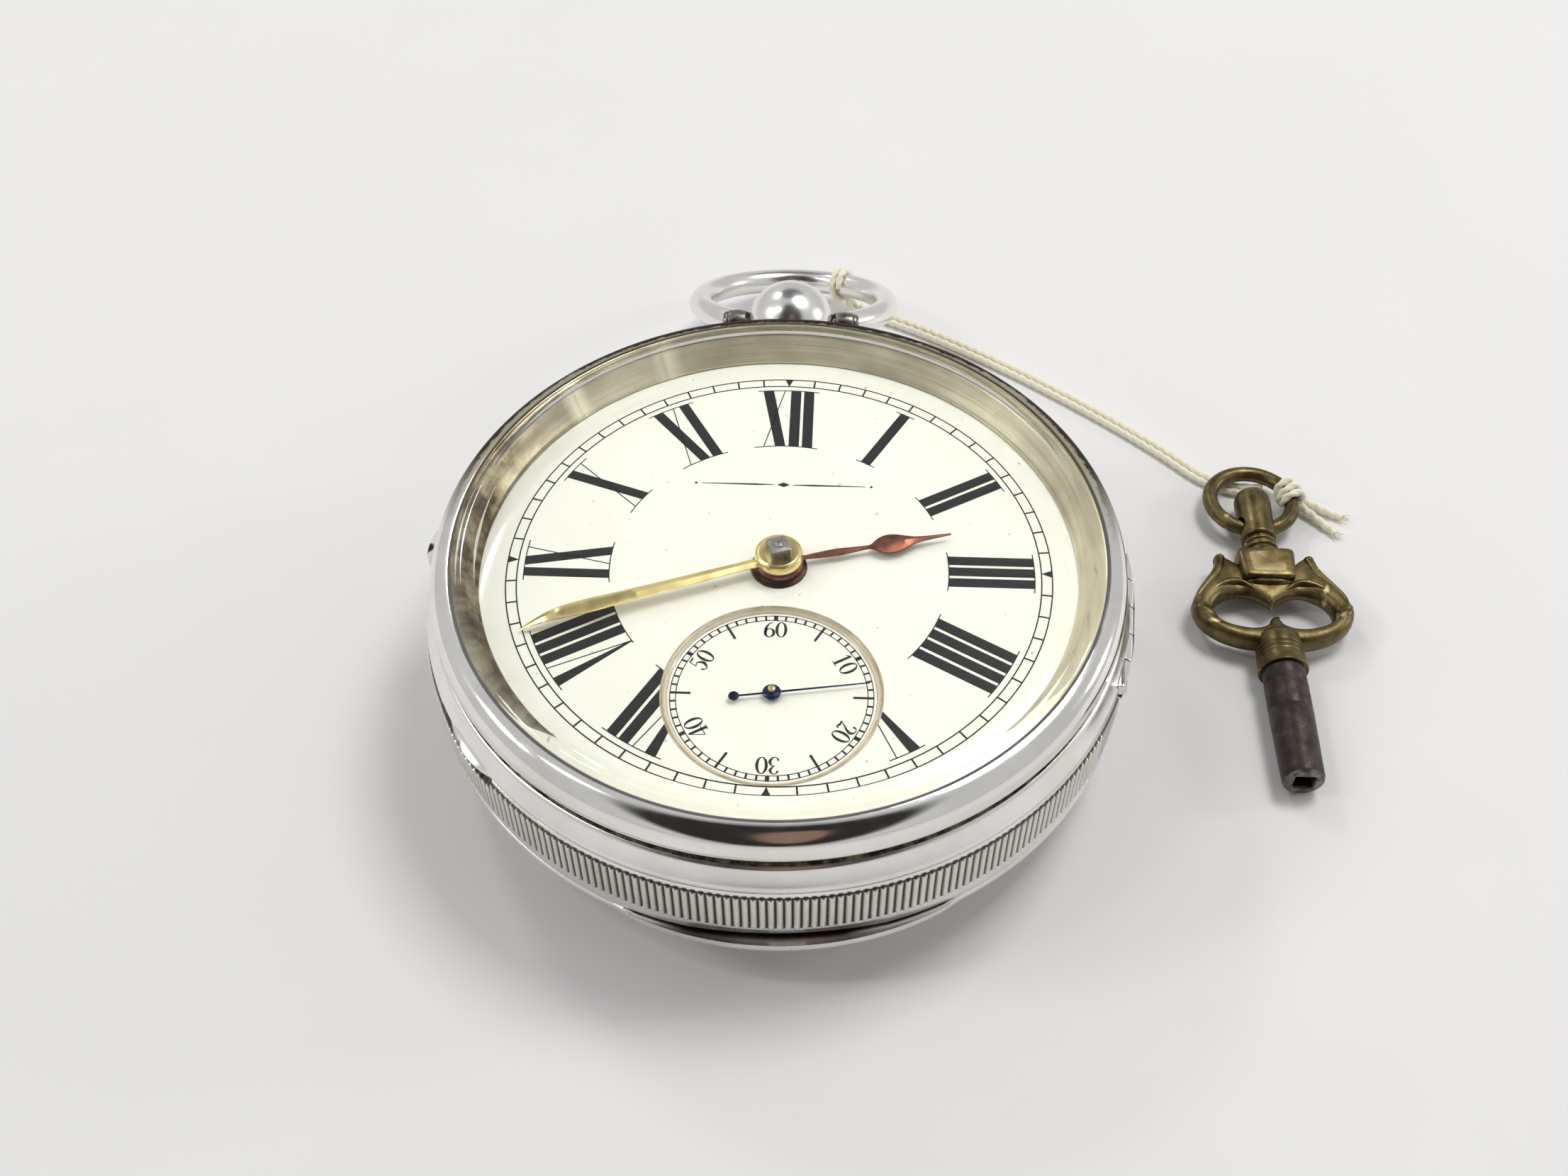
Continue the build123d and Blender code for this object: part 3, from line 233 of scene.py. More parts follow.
def turned(profile, steps, change=None, kinds=0, closed=True):
    """A profile of (radius, height) points turned about Z. change(clock, r, z) may move the
    points of each meridian, and kinds gives a material number for each of the profile's edges."""
    theta = np.arange(steps) * 2 * math.pi / steps
    r, z = (np.array(v, float)[None, :] for v in zip(*profile))
    clock = clock_of(theta)[:, None]
    r, z = np.broadcast_to(r, (steps, len(profile))), np.broadcast_to(z, (steps, len(profile)))
    if change is not None:
        r, z = change(np.broadcast_to(clock, r.shape), r, z)
    points = np.stack([r * np.cos(theta)[:, None], r * np.sin(theta)[:, None], z], -1)
    faces = grid_faces(steps, len(profile), True, closed)
    edges = len(profile) if closed else len(profile) - 1
    per_edge = kinds if hasattr(kinds, "__len__") else [kinds] * edges
    return Shape().add(points, faces, list(per_edge) * steps)


def frames_along(points, closed):
    """Tangents and two cross directions along a line, without twist."""
    points = np.asarray(points, float)
    if closed:
        tangents = np.roll(points, -1, 0) - np.roll(points, 1, 0)
    else:
        tangents = np.gradient(points, axis=0)
    tangents /= np.linalg.norm(tangents, axis=1)[:, None]
    side = np.cross(tangents[0], (0, 0, 1.0))
    if np.linalg.norm(side) < 1e-3:
        side = np.cross(tangents[0], (0, 1.0, 0))
    side /= np.linalg.norm(side)
    sides = [side]
    for t in tangents[1:]:
        side = side - (side @ t) * t
        side = side / np.linalg.norm(side)
        sides.append(side)
    sides = np.array(sides)
    return points, tangents, sides, np.cross(tangents, sides)


def travelled(points):
    """How far along a line each of its points is."""
    return np.concatenate([[0], np.cumsum(np.linalg.norm(np.diff(points, axis=0), axis=1))])


def swept(points, radius, sides=16, closed=False, section=None):
    """A tube along a line. radius is a number or one for each point, and section(phi, s) scales
    it round and along the tube, where s is the distance from its start."""
    points, _, across, up = frames_along(points, closed)
    phi = np.arange(sides) * 2 * math.pi / sides
    reach = np.broadcast_to(radius, (len(points),))[:, None] * np.ones(sides)
    if section is not None:
        reach = reach * section(phi[None, :], travelled(points)[:, None])
    ring = (
        across[:, None, :] * (np.cos(phi)[None, :] * reach)[..., None]
        + up[:, None, :] * (np.sin(phi)[None, :] * reach)[..., None]
        + points[:, None, :]
    )
    return lofted(ring, closed=closed)


def prism(corners, low, high):
    """A flat outline raised between two heights."""
    n = len(corners)
    points = [(x, y, low) for x, y in corners] + [(x, y, high) for x, y in corners]
    sides = [(i, (i + 1) % n, n + (i + 1) % n, n + i) for i in range(n)]
    return Shape().add(points, [tuple(range(n))[::-1], tuple(range(n, 2 * n)), *sides])


def ribbon(points, widths, low, high):
    """A flat line of changing width between two heights."""
    points = np.asarray(points, float)
    along = np.gradient(points, axis=0)
    along /= np.linalg.norm(along, axis=1)[:, None]
    normal = np.stack([-along[:, 1], along[:, 0]], -1)
    half = np.asarray(widths, float)[:, None] / 2
    left, right = points + normal * half, points - normal * half
    rings = np.zeros((len(points), 4, 3))
    for k, (edge, z) in enumerate(((left, high), (right, high), (right, low), (left, low))):
        rings[:, k, :2] = edge
        rings[:, k, 2] = z
    return lofted(rings)


def smooth_line(points, steps=12):
    """A Catmull-Rom line through points of any dimension."""
    p = np.asarray(points, float)
    p = np.concatenate([[2 * p[0] - p[1]], p, [2 * p[-1] - p[-2]]])
    out = []
    for n in range(1, len(p) - 2):
        for k in range(steps):
            t = k / steps
            a, b, c, d = p[n - 1], p[n], p[n + 1], p[n + 2]
            curve, twist = 2 * a - 5 * b + 4 * c - d, 3 * b - a - 3 * c + d
            out.append((2 * b + (c - a) * t + curve * t * t + twist * t**3) / 2)
    out.append(p[-2])
    return np.array(out)


def spot(x, y, z, turn=None):
    """A place as a matrix, in millimetres."""
    m = Matrix.Translation((x, y, z))
    return m if turn is None else m @ turn


def turn_about(axis, degrees):
    """A turn about a named axis."""
    return Matrix.Rotation(math.radians(degrees), 4, axis)


def piece(name, shape, materials, body, stands_for=(), sharp=32):
    """Makes a Blender object of a shape, rides it on a body and hides the CAD parts that it stands for."""
    mesh = bpy.data.meshes.new(name)
    points = np.concatenate(shape.points) * MM
    mesh.from_pydata(points.tolist(), [], shape.faces)
    for material in materials:
        mesh.materials.append(material)
    mesh.polygons.foreach_set("material_index", np.array(shape.kinds, np.int32))
    clean(mesh)
    obj = bpy.data.objects.new(name, mesh)
    bpy.context.scene.collection.objects.link(obj)
    smooth(mesh, sharp)
    if body is not None:
        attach(obj, body)
    if stands_for:
        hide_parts(*stands_for)
    return obj


def clean(mesh):
    """Joins doubled points and turns the faces outward."""
    bm = bmesh.new()
    bm.from_mesh(mesh)
    bmesh.ops.remove_doubles(bm, verts=bm.verts, dist=DOUBLED)
    bmesh.ops.recalc_face_normals(bm, faces=bm.faces)
    bm.to_mesh(mesh)
    bm.free()


def smooth(mesh, sharp):
    """Shades a mesh smooth, but for edges that turn by more than sharp degrees."""
    mesh.shade_smooth()
    mesh.set_sharp_from_angle(angle=math.radians(sharp))


def carved(obj, cutters, sharp=32):
    """Takes the cutters' shapes out of a piece for good."""
    scratch = []
    for n, cutter in enumerate(cutters):
        mesh = bpy.data.meshes.new(f"{obj.name}_cutter_{n}")
        mesh.from_pydata((np.concatenate(cutter.points) * MM).tolist(), [], cutter.faces)
        clean(mesh)
        tool = bpy.data.objects.new(mesh.name, mesh)
        bpy.context.scene.collection.objects.link(tool)
        scratch.append(tool)
        modifier = obj.modifiers.new("carve", "BOOLEAN")
        modifier.operation, modifier.solver, modifier.object = "DIFFERENCE", "EXACT", tool
    bpy.context.view_layer.update()
    done = bpy.data.meshes.new_from_object(obj.evaluated_get(bpy.context.evaluated_depsgraph_get()))
    obj.modifiers.clear()
    old, obj.data = obj.data, done
    done.name = obj.name
    for mesh in (old, *(tool.data for tool in scratch)):
        bpy.data.meshes.remove(mesh)
    smooth(done, sharp)


# ---- materials ------------------------------------------------------------------------------
class Tree:
    """A node tree while it is put together."""

    def __init__(self, tree):
        self.nodes, self.links = tree.nodes, tree.links

    def new(self, kind, **settings):
        """A node of a kind, with its own settings."""
        node = self.nodes.new("ShaderNode" + kind)
        for key, value in settings.items():
            setattr(node, key, value)
        return node

    def feed(self, socket, value):
        """Links a socket to another one, or sets it to a colour or a number."""
        if isinstance(value, bpy.types.NodeSocket):
            self.links.new(value, socket)
        elif socket.type == "RGBA":
            socket.default_value = (*value, 1)
        else:
            socket.default_value = value

    def math(self, operation, a, b=0.0):
        node = self.new("Math", operation=operation)
        self.feed(node.inputs[0], a)
        self.feed(node.inputs[1], b)
        return node.outputs[0]

    def parts(self, vector):
        """The x, y and z of a vector."""
        node = self.new("SeparateXYZ")
        self.feed(node.inputs[0], vector)
        return node.outputs

    def ramp(self, source, *stops):
        """Colours, or grey values, by a factor from 0 to 1."""
        node = self.new("ValToRGB")
        elements = node.color_ramp.elements
        while len(elements) < len(stops):
            elements.new(0.5)
        for element, (place, value) in zip(elements, stops):
            element.position = place
            element.color = (*value, 1) if isinstance(value, tuple) else (value, value, value, 1)
        self.feed(node.inputs[0], source)
        return node.outputs[0]

    def mix(self, factor, a, b, blend="MIX"):
        node = self.new("Mix", data_type="RGBA", blend_type=blend)
        for n, value in ((0, factor), (6, a), (7, b)):
            self.feed(node.inputs[n], value)
        return node.outputs[2]


class Look(Tree):
    """A material in object space."""

    def __init__(self, name, **settings):
        self.material = bpy.data.materials.new(name)
        self.material.use_nodes = True
        super().__init__(self.material.node_tree)
        self.shader = self.nodes["Principled BSDF"]
        for key, value in settings.items():
            socket = key.replace("_", " ").title().replace("Ior", "IOR")
            self.shader.inputs[socket].default_value = value
        self.coord = self.new("TexCoord").outputs["Object"]

    def done(self, colour, roughness=None, normal=None):
        """Feeds the shader and returns the material."""
        for socket, value in (("Base Color", colour), ("Roughness", roughness), ("Normal", normal)):
            if value is not None:
                self.feed(self.shader.inputs[socket], value)
        return self.material

    def noise(self, scale, detail=4.0, rough=0.55, vector=None):
        """Noise with scale in features for each millimetre, or along a vector of its own."""
        node = self.new("TexNoise")
        node.inputs["Scale"].default_value = scale / MM if vector is None else scale
        node.inputs["Detail"].default_value, node.inputs["Roughness"].default_value = detail, rough
        self.feed(node.inputs["Vector"], self.coord if vector is None else vector)
        return node.outputs["Fac"]

    def mottled(self, scale, detail, low, high, at=(0.3, 0.7), rough=0.55):
        """A colour or value that wanders between two of them."""
        return self.ramp(self.noise(scale, detail, rough), (at[0], low), (at[1], high))

    def mapped(self, scale, location=(0, 0, 0)):
        """Object coordinates in metres, scaled along each axis and moved."""
        node = self.new("Mapping")
        node.inputs["Location"].default_value = tuple(location)
        node.inputs["Scale"].default_value = tuple(scale)
        self.feed(node.inputs["Vector"], self.coord)
        return node.outputs[0]

    def around(self, y=0.0):
        """The distance from an upright axis through (0, y), and the angle about it."""
        x, away, _ = self.parts(self.coord)
        away = self.math("SUBTRACT", away, y * MM)
        squares = self.math("ADD", self.math("MULTIPLY", x, x), self.math("MULTIPLY", away, away))
        return self.math("SQRT", squares), self.math("ARCTAN2", away, x)

    def turning_marks(self, along, radial, height):
        """Coordinates for marks that run round the axis: features for each radian of the way
        round, and for each millimetre outward and upward."""
        radius, angle = self.around()
        node = self.new("CombineXYZ")
        for n, value, scale in (
            (0, angle, along), (1, radius, radial / MM), (2, self.parts(self.coord)[2], height / MM),
        ):
            self.feed(node.inputs[n], self.math("MULTIPLY", value, scale))
        return node.outputs[0]

    def centimetres(self, length, sign=1):
        """A length on a ramp's scale, where 1 is a centimetre."""
        return self.math("MULTIPLY", length, sign / (10 * MM))

    def pointiness(self, *stops):
        """A ramp by how far the surface sticks out: 0.5 is flat, and less is a hollow."""
        return self.ramp(self.new("NewGeometry").outputs["Pointiness"], *stops)

    def bump(self, height, distance, strength=1.0, under=None):
        """A normal from a height, in millimetres from black to white, over another normal."""
        node = self.new("Bump")
        node.inputs["Strength"].default_value, node.inputs["Distance"].default_value = strength, distance * MM
        self.feed(node.inputs["Height"], height)
        if under is not None:
            self.feed(node.inputs["Normal"], under)
        return node.outputs[0]


# Shade is painted near black in these places: the nail hollow, round the thumb piece and at the joints of the
# bezel's hinge.
SHADE_SPOTS = [  # clock angle, radius, height, size and flatness of the dark places in the silver
    (234.0, 26.0, 10.70, 2.3, 2.4), (238.5, 26.2, 10.95, 2.3, 3.4), (275.0, 27.2, 11.30, 0.75, 1.0),
    (93.0, 26.3, 11.25, 0.9, 2.0), (99.5, 26.3, 11.25, 0.9, 2.0),
]


def dirty_places(look):
    """White in ragged oval places of the surface, where shade is painted."""
    ragged, painted_shade = look.math("MULTIPLY", look.noise(1.2, 4), 0.3), 0.0
    for clock, radius, height, size, flatness in SHADE_SPOTS:
        scale = np.array([1, 1, flatness]) / (size * MM)
        away = look.new("VectorMath", operation="LENGTH")
        look.feed(away.inputs[0], look.mapped(scale, -polar(clock, radius, height) * MM * scale))
        reach = look.math("MULTIPLY", look.math("ADD", away.outputs["Value"], ragged), 0.5)
        painted_shade = look.math("MAXIMUM", painted_shade, look.ramp(reach, (0.54, 1.0), (0.64, 0.0)))
    return painted_shade


def dirty_gap(look):
    """White in the narrow gap over the back cover's lip, where shade is painted."""
    x, y, z = look.parts(look.coord)
    sideways = look.ramp(look.centimetres(look.math("ABSOLUTE", x)), (0.56, 1.0), (0.78, 0.0))
    front = look.math("LESS_THAN", y, -24 * MM)
    level = look.ramp(look.centimetres(z), (0.526, 0.0), (0.532, 1.0), (0.554, 1.0), (0.564, 0.0))
    return look.math("MULTIPLY", look.math("MULTIPLY", sideways, front), level)


def silver_material(name="silver", smoothest=0.07, roughest=0.17, scratched=0.3):
    """Polished sterling silver with fine handling marks, a trace of tarnish, and near-black painted
    shade in its hollows, at its joints and in the gap over the back cover's lip."""
    look = Look(name, metallic=1.0)
    clean_silver = look.mottled(0.16, 5, (0.90, 0.885, 0.865), (0.82, 0.80, 0.765), (0.35, 0.62))
    painted_shade = look.math("MAXIMUM", dirty_places(look), dirty_gap(look))
    scratches = look.noise(1.0, 3, vector=look.mapped((5 / MM, 5 / MM, 0.8 / MM)))
    # The near-black colour is painted shade, laid by the mask of the shaded places and the gap.
    return look.done(
        look.mix(painted_shade, clean_silver, (0.030, 0.025, 0.021)),
        look.mottled(0.5, 6, smoothest, roughest, (0.3, 0.75)),
        look.bump(scratches, 0.004, scratched, look.bump(look.noise(0.09, 2), 0.05, 0.25)),
    )


def rim_material():
    """The roll beside the crystal: polished in front, with a thin dark line of old dirt and painted dark
    reflection at its inner side, and a painted champagne reflection with a ragged black-brown painted shade
    line where it turns away behind."""
    look = Look("silver_rim", metallic=1.0)
    radius, _ = look.around()
    depth = look.math("DIVIDE", look.parts(look.coord)[1], 25 * MM)
    behind = look.ramp(depth, (0.02, 0.0), (0.34, 1.0))
    ragged = look.math("MULTIPLY", look.noise(1.5, 5, 0.7), 1.1 * MM)
    out = look.math("SUBTRACT", look.math("ADD", radius, ragged), 23.8 * MM)
    place = look.math("DIVIDE", out, 2 * MM)
    farthest = look.ramp(depth, (0.70, 0.0), (0.97, 0.22))
    line = look.ramp(look.math("ADD", place, farthest), (0.66, 0.0), (0.78, 1.0))
    inside = look.math("MULTIPLY", look.ramp(place, (0.19, 1.0), (0.27, 0.0)),
                       look.mottled(1.1, 5, 0.35, 1.0, (0.38, 0.52)))
    inside = look.math("MULTIPLY", inside, look.math("SUBTRACT", 1.0, behind))
    amount = look.math("MAXIMUM", look.math("MULTIPLY", behind, line), inside)
    clean_silver = look.mottled(0.16, 5, (0.90, 0.885, 0.865), (0.80, 0.78, 0.735), (0.35, 0.62))
    # painted champagne reflection on the far side, where the roll turns away
    clean_silver = look.mix(behind, clean_silver, (0.56, 0.505, 0.375))
    smooth_part = look.mottled(0.5, 6, 0.07, 0.16, (0.3, 0.75))
    return look.done(
        # near black: painted shade behind, and old dirt with painted dark reflection at the inner side in
        # front
        look.mix(amount, clean_silver, (0.030, 0.024, 0.016)),
        look.math("ADD", smooth_part, look.math("MULTIPLY", amount, 0.5)),
        look.bump(look.noise(0.09, 2), 0.05, 0.25),
    )


def reeded_material():
    """The same silver, darkened toward the bottom of each groove of the reeding by dirt and painted shade."""
    look = Look("silver_reeded", metallic=0.8)
    radius, _ = look.around()
    depth = look.math("DIVIDE", look.math("SUBTRACT", radius, (REED_R - 0.2) * MM), 0.2 * MM)
    clean_silver = look.mottled(0.2, 5, (0.88, 0.865, 0.84), (0.78, 0.76, 0.72), (0.35, 0.65))
    # by depth into the reeding: dirt and painted shade, darkest at the bottom of each groove
    groove = look.ramp(depth, (0.0, (0.11, 0.100, 0.085)), (0.30, (0.32, 0.30, 0.265)),
                       (0.60, (0.98, 0.97, 0.95)))
    return look.done(look.mix(1.0, clean_silver, groove, "MULTIPLY"), look.mottled(0.6, 5, 0.20, 0.34))


FANS_AT = (313, 334)  # clock angles at which the turned cone throws light at the viewer


def rehaut_material():
    """The bezel's inner cone: turned marks, champagne tarnish, streaks of light across it, and
    brown mottling on the left."""
    look = Look("rehaut", metallic=0.78, anisotropic=0.5)
    streaks = look.noise(1.0, 5, vector=look.turning_marks(1.6, 9.0, 9.0))
    champagne = look.ramp(streaks, (0.30, (0.60, 0.545, 0.405)), (0.70, (0.84, 0.79, 0.62)))
    broad = look.noise(1.0, 3, vector=look.turning_marks(2.4, 0.12, 0.12))
    glow = look.ramp(broad, (0.36, (0.70, 0.68, 0.63)), (0.50, (0.92, 0.91, 0.88)),
                     (0.64, (1.12, 1.11, 1.05)))
    lit = look.mix(1.0, champagne, glow, "MULTIPLY")
    stains = look.mottled(0.55, 6, 0.0, 0.45, (0.58, 0.72), 0.7)
    base = look.mix(stains, lit, (0.46, 0.40, 0.26))

    x, y, _ = look.parts(look.coord)
    leftward = look.math("ADD", look.math("DIVIDE", x, -24 * MM), look.math("DIVIDE", y, -80 * MM))
    side = look.ramp(leftward, (0.40, 0.0), (0.80, 1.0))
    amount = look.math("MULTIPLY", side, look.mottled(0.33, 7, 0.55, 1.0, (0.34, 0.54), 0.62))
    brown = look.mottled(0.8, 6, (0.042, 0.028, 0.011), (0.19, 0.142, 0.062), (0.35, 0.7))
    stained = look.mix(amount, base, brown)

    _, angle = look.around()
    fine = look.ramp(look.noise(1.0, 3, vector=look.turning_marks(42.0, 0.25, 0.25)), (0.34, 0.45),
                     (0.54, 1.0))
    for clock in FANS_AT:
        apart = look.math("ABSOLUTE", look.math("SUBTRACT", angle, math.radians(450 - clock)))
        fan = look.math("MULTIPLY", look.ramp(apart, (0.012, 0.9), (0.058, 0.0)), fine)
        stained = look.mix(fan, stained, (1.0, 0.95, 0.72))
    tangent = look.new("Tangent", direction_type="RADIAL", axis="Z")
    look.feed(look.shader.inputs["Tangent"], tangent.outputs[0])
    return look.done(stained, look.ramp(streaks, (0.3, 0.26), (0.7, 0.40)), look.bump(streaks, 0.012, 0.5))


def grime_material():
    """Black-brown painted shade in the bezel's groove under the crystal's edge, with metal showing through.
    """
    look = Look("groove_shade", metallic=0.75)
    painted_shade = look.noise(0.9, 7, 0.65)
    # the black-brown ramp is painted shade in the groove
    return look.done(
        look.ramp(painted_shade, (0.42, (0.035, 0.028, 0.020)), (0.68, (0.30, 0.25, 0.16))),
        look.ramp(painted_shade, (0.4, 0.65), (0.7, 0.35)), look.bump(painted_shade, 0.03, 0.5),
    )


def crystal_material(name="crystal", low=(0.985, 0.995, 0.985), high=(0.995, 1.0, 0.995)):
    """Glass that lets light through to the dial."""
    look = Look(name, metallic=0.0, roughness=0.0, ior=1.5, transmission_weight=1.0)
    shadow = look.new("LightPath").outputs["Is Shadow Ray"]
    clear = look.new("BsdfTransparent").outputs[0]
    mixed = look.new("MixShader")
    for socket, source in zip(mixed.inputs, (shadow, look.shader.outputs[0], clear)):
        look.feed(socket, source)
    look.feed(look.nodes["Material Output"].inputs["Surface"], mixed.outputs[0])
    smear = look.bump(look.noise(0.12, 3), 0.01, 0.06)
    return look.done(look.mottled(0.3, 2, low, high, (0.0, 1.0)), normal=smear)


def enamel_material():
    """Fired white enamel: a warm white gloss with a few specks and a little haze at the edge, of stain and
    painted reflection.
    """
    look = Look("enamel", metallic=0.0, coat_weight=0.5, coat_roughness=0.05, ior=1.5)
    radius, _ = look.around()
    rim = look.ramp(look.math("DIVIDE", radius, DIAL_R * MM), (0.90, 0.0), (1.0, 0.5))
    haze = look.math("MULTIPLY", rim, look.mottled(0.35, 5, 0.0, 1.0, (0.45, 0.7)))
    white = look.mottled(0.05, 3, (0.715, 0.715, 0.645), (0.735, 0.735, 0.67))
    specks = look.mottled(1.7, 2, 0.0, 0.75, (0.735, 0.765), 0.4)
    marked = look.mix(specks, white, (0.38, 0.36, 0.32))
    # the greyish-green haze toward the edge is stain and a painted reflection of the glass
    return look.done(look.mix(haze, marked, (0.60, 0.60, 0.50)), look.mottled(0.2, 4, 0.10, 0.17),
                     look.bump(look.noise(0.12, 2), 0.03, 0.12))


def seconds_enamel_material():
    """The sunk seconds dial, with brown stain in the joint round it and painted shade on its step down."""
    look = Look("enamel_seconds", metallic=0.0, coat_weight=0.5, coat_roughness=0.05)
    radius, _ = look.around(SECONDS_Y)
    white, cream, brown = (0.72, 0.72, 0.65), (0.46, 0.39, 0.27), (0.15, 0.10, 0.055)
    # bands round the edge: brown stain, and beige painted shade on the step down into the sunk dial
    rings = look.ramp(
        look.math("DIVIDE", radius, 8.0 * MM), (0.920, white), (0.932, (0.38, 0.28, 0.15)),
        (0.942, (0.66, 0.60, 0.46)), (0.962, cream), (0.972, brown), (0.984, (0.46, 0.38, 0.24)),
        (1.0, (0.70, 0.68, 0.60)),
    )
    worn = look.mottled(0.8, 5, 0.0, 0.35, (0.40, 0.80))
    return look.done(look.mix(worn, rings, white), look.mottled(0.2, 4, 0.11, 0.19))


def ink_material():
    """Black enamel of the printed marks."""
    look = Look("ink", metallic=0.0, specular_ior_level=0.2)
    grain = look.noise(2.2, 4)
    black = look.ramp(grain, (0.3, (0.006, 0.006, 0.007)), (0.75, (0.011, 0.011, 0.012)))
    return look.done(black, look.ramp(grain, (0.3, 0.42), (0.7, 0.50)))


def metal_material(name, dark, bright, rough, grain, bump):
    """A cast, gilt or cut metal: two colours over a grain."""
    look = Look(name, metallic=1.0)
    return look.done(look.mottled(grain, 6, dark, bright, rough=0.6), look.mottled(grain * 1.7, 4, *rough),
                     look.bump(look.noise(grain * 4, 3), bump, 0.5))


def key_brass_material():
    """Brown-olive tarnish over cast brass, rubbed bright on its edges."""
    look = Look("key_brass", metallic=1.0)
    mottle = look.noise(0.55, 7, 0.65)
    tarnish = look.ramp(mottle, (0.32, (0.070, 0.050, 0.021)), (0.52, (0.155, 0.118, 0.052)),
                        (0.72, (0.25, 0.19, 0.088)))
    dirty = look.mix(look.pointiness((0.44, 1.0), (0.495, 0.0)), tarnish, (0.055, 0.040, 0.018))
    pits = look.noise(3.2, 4, 0.6)
    return look.done(
        look.mix(look.pointiness((0.545, 0.0), (0.66, 1.0)), dirty, (0.58, 0.47, 0.26)),
        look.mottled(1.3, 5, 0.30, 0.48), look.bump(pits, 0.02, 0.5, look.bump(mottle, 0.08, 0.3)),
    )


def key_steel_material():
    """Browned steel of the key's pipe, worn to grey at its end."""
    look = Look("key_steel", metallic=0.7)
    brown = look.ramp(look.noise(0.9, 7, 0.65), (0.34, (0.030, 0.021, 0.018)), (0.58, (0.056, 0.041, 0.036)),
                      (0.76, (0.13, 0.105, 0.095)))
    end = look.ramp(look.centimetres(look.parts(look.coord)[1], -1), (0.972, 0.0), (0.985, 1.0))
    worn = look.math("MULTIPLY", end, look.mottled(1.2, 4, 0.15, 0.75, (0.44, 0.62)))
    return look.done(look.mix(worn, brown, (0.36, 0.34, 0.32)), look.mottled(1.6, 4, 0.36, 0.55),
                     look.bump(look.noise(2.6, 5, 0.6), 0.03, 0.6))


def cotton_material():
    """Undyed cotton, cream to yellow with handling."""
    look = Look("cotton", metallic=0.0, subsurface_weight=0.25, subsurface_scale=0.0004, sheen_weight=0.35,
                sheen_roughness=0.5, subsurface_radius=(1.0, 0.85, 0.6))
    fibre = look.noise(7.0, 4)
    cream = look.ramp(fibre, (0.25, (0.80, 0.74, 0.54)), (0.6, (0.96, 0.93, 0.79)))
    soiled = look.mix(look.mottled(0.35, 3, 0.0, 0.25, (0.45, 0.75)), cream, (0.86, 0.79, 0.57))
    return look.done(soiled, look.ramp(fibre, (0.3, 0.75), (0.7, 0.92)), look.bump(fibre, 0.03, 0.7))


def ruby_material():
    """The red stones of the bearings and the pallets."""
    look = Look("ruby", metallic=0.0, roughness=0.06, ior=1.76, coat_weight=0.6)
    return look.done(look.mottled(1.2, 3, (0.42, 0.012, 0.045), (0.68, 0.035, 0.10)))


def floor_material():
    """The white surface that the watch lies on."""
    look = Look("floor", metallic=0.0)
    return look.done(look.mottled(0.02, 3, (0.852, 0.849, 0.846), (0.872, 0.869, 0.866)),
                     look.mottled(0.1, 3, 0.55, 0.65))


SILVER = silver_material()
SILVER_WALL = silver_material("silver_wall", 0.20, 0.32, 0.5)
SILVER_WORN = silver_material("silver_worn", 0.18, 0.30, 0.4)
# A shaded copy of the silver: painted shade on the bow's eyes and on the screws beside the ball.
SILVER_SHADED = metal_material("silver_shaded", (0.10, 0.092, 0.080), (0.34, 0.32, 0.29), (0.22, 0.40), 0.8,
                             0.01)
RIM = rim_material()
REEDED = reeded_material()
REHAUT = rehaut_material()
GROOVE_SHADE = grime_material()
CRYSTAL = crystal_material()
CRYSTAL_EDGE = crystal_material("crystal_edge", (0.935, 0.945, 0.885), (0.965, 0.97, 0.93))
ENAMEL = enamel_material()
ENAMEL_SECONDS = seconds_enamel_material()
INK = ink_material()
GOLD = metal_material("hand_gilt", (0.80, 0.635, 0.27), (0.95, 0.80, 0.40), (0.15, 0.26), 0.5, 0.003)
COPPER = metal_material("hand_bronzed", (0.115, 0.042, 0.026), (0.25, 0.095, 0.060), (0.26, 0.42), 0.9, 0.02)
# A shaded copy of the bronzed copper: painted shade on the hour hand's pipe end below the boss.
COPPER_SHADED = metal_material("hand_bronzed_shaded", (0.018, 0.011, 0.008), (0.075, 0.034, 0.022), (0.4, 0.6),
                             1.4, 0.02)
STEEL = metal_material("steel", (0.36, 0.35, 0.33), (0.62, 0.61, 0.59), (0.18, 0.34), 0.8, 0.01)
POST_STEEL = metal_material("steel_grey", (0.12, 0.115, 0.105), (0.30, 0.29, 0.27), (0.34, 0.5), 1.6, 0.03)
BLUED = metal_material("steel_blued", (0.010, 0.016, 0.045), (0.028, 0.045, 0.13), (0.16, 0.28), 1.0, 0.006)
GILT = metal_material("gilt", (0.66, 0.47, 0.17), (0.84, 0.64, 0.28), (0.30, 0.42), 1.2, 0.012)
COPPER_BARE = metal_material("copper", (0.45, 0.20, 0.10), (0.72, 0.36, 0.20), (0.25, 0.4), 0.8, 0.012)
KEY_BRASS = key_brass_material()
KEY_STEEL = key_steel_material()
COTTON = cotton_material()
RUBY = ruby_material()

BY_SLOT = {
    "case_silver": SILVER, "crystal_glass": CRYSTAL, "dial_enamel": ENAMEL, "dial_copper": COPPER_BARE,
    "hand_gold": GOLD, "hand_copper": COPPER, "blued_steel": BLUED, "gilt_brass": GILT,
    "polished_steel": STEEL, "ruby": RUBY, "key_brass": KEY_BRASS, "key_steel": KEY_STEEL,
    "cotton_string": COTTON,
}


def dress_cad_nodes():
    """Gives every carried-over CAD node the material of its slot."""
    for sub in frame["record"]["subparts"]:
        mesh = frame["nodes"][sub["node"]].data
        material = BY_SLOT[sub["material_slot"]]
        if not mesh.materials:
            mesh.materials.append(material)
        for n in range(len(mesh.materials)):
            mesh.materials[n] = material


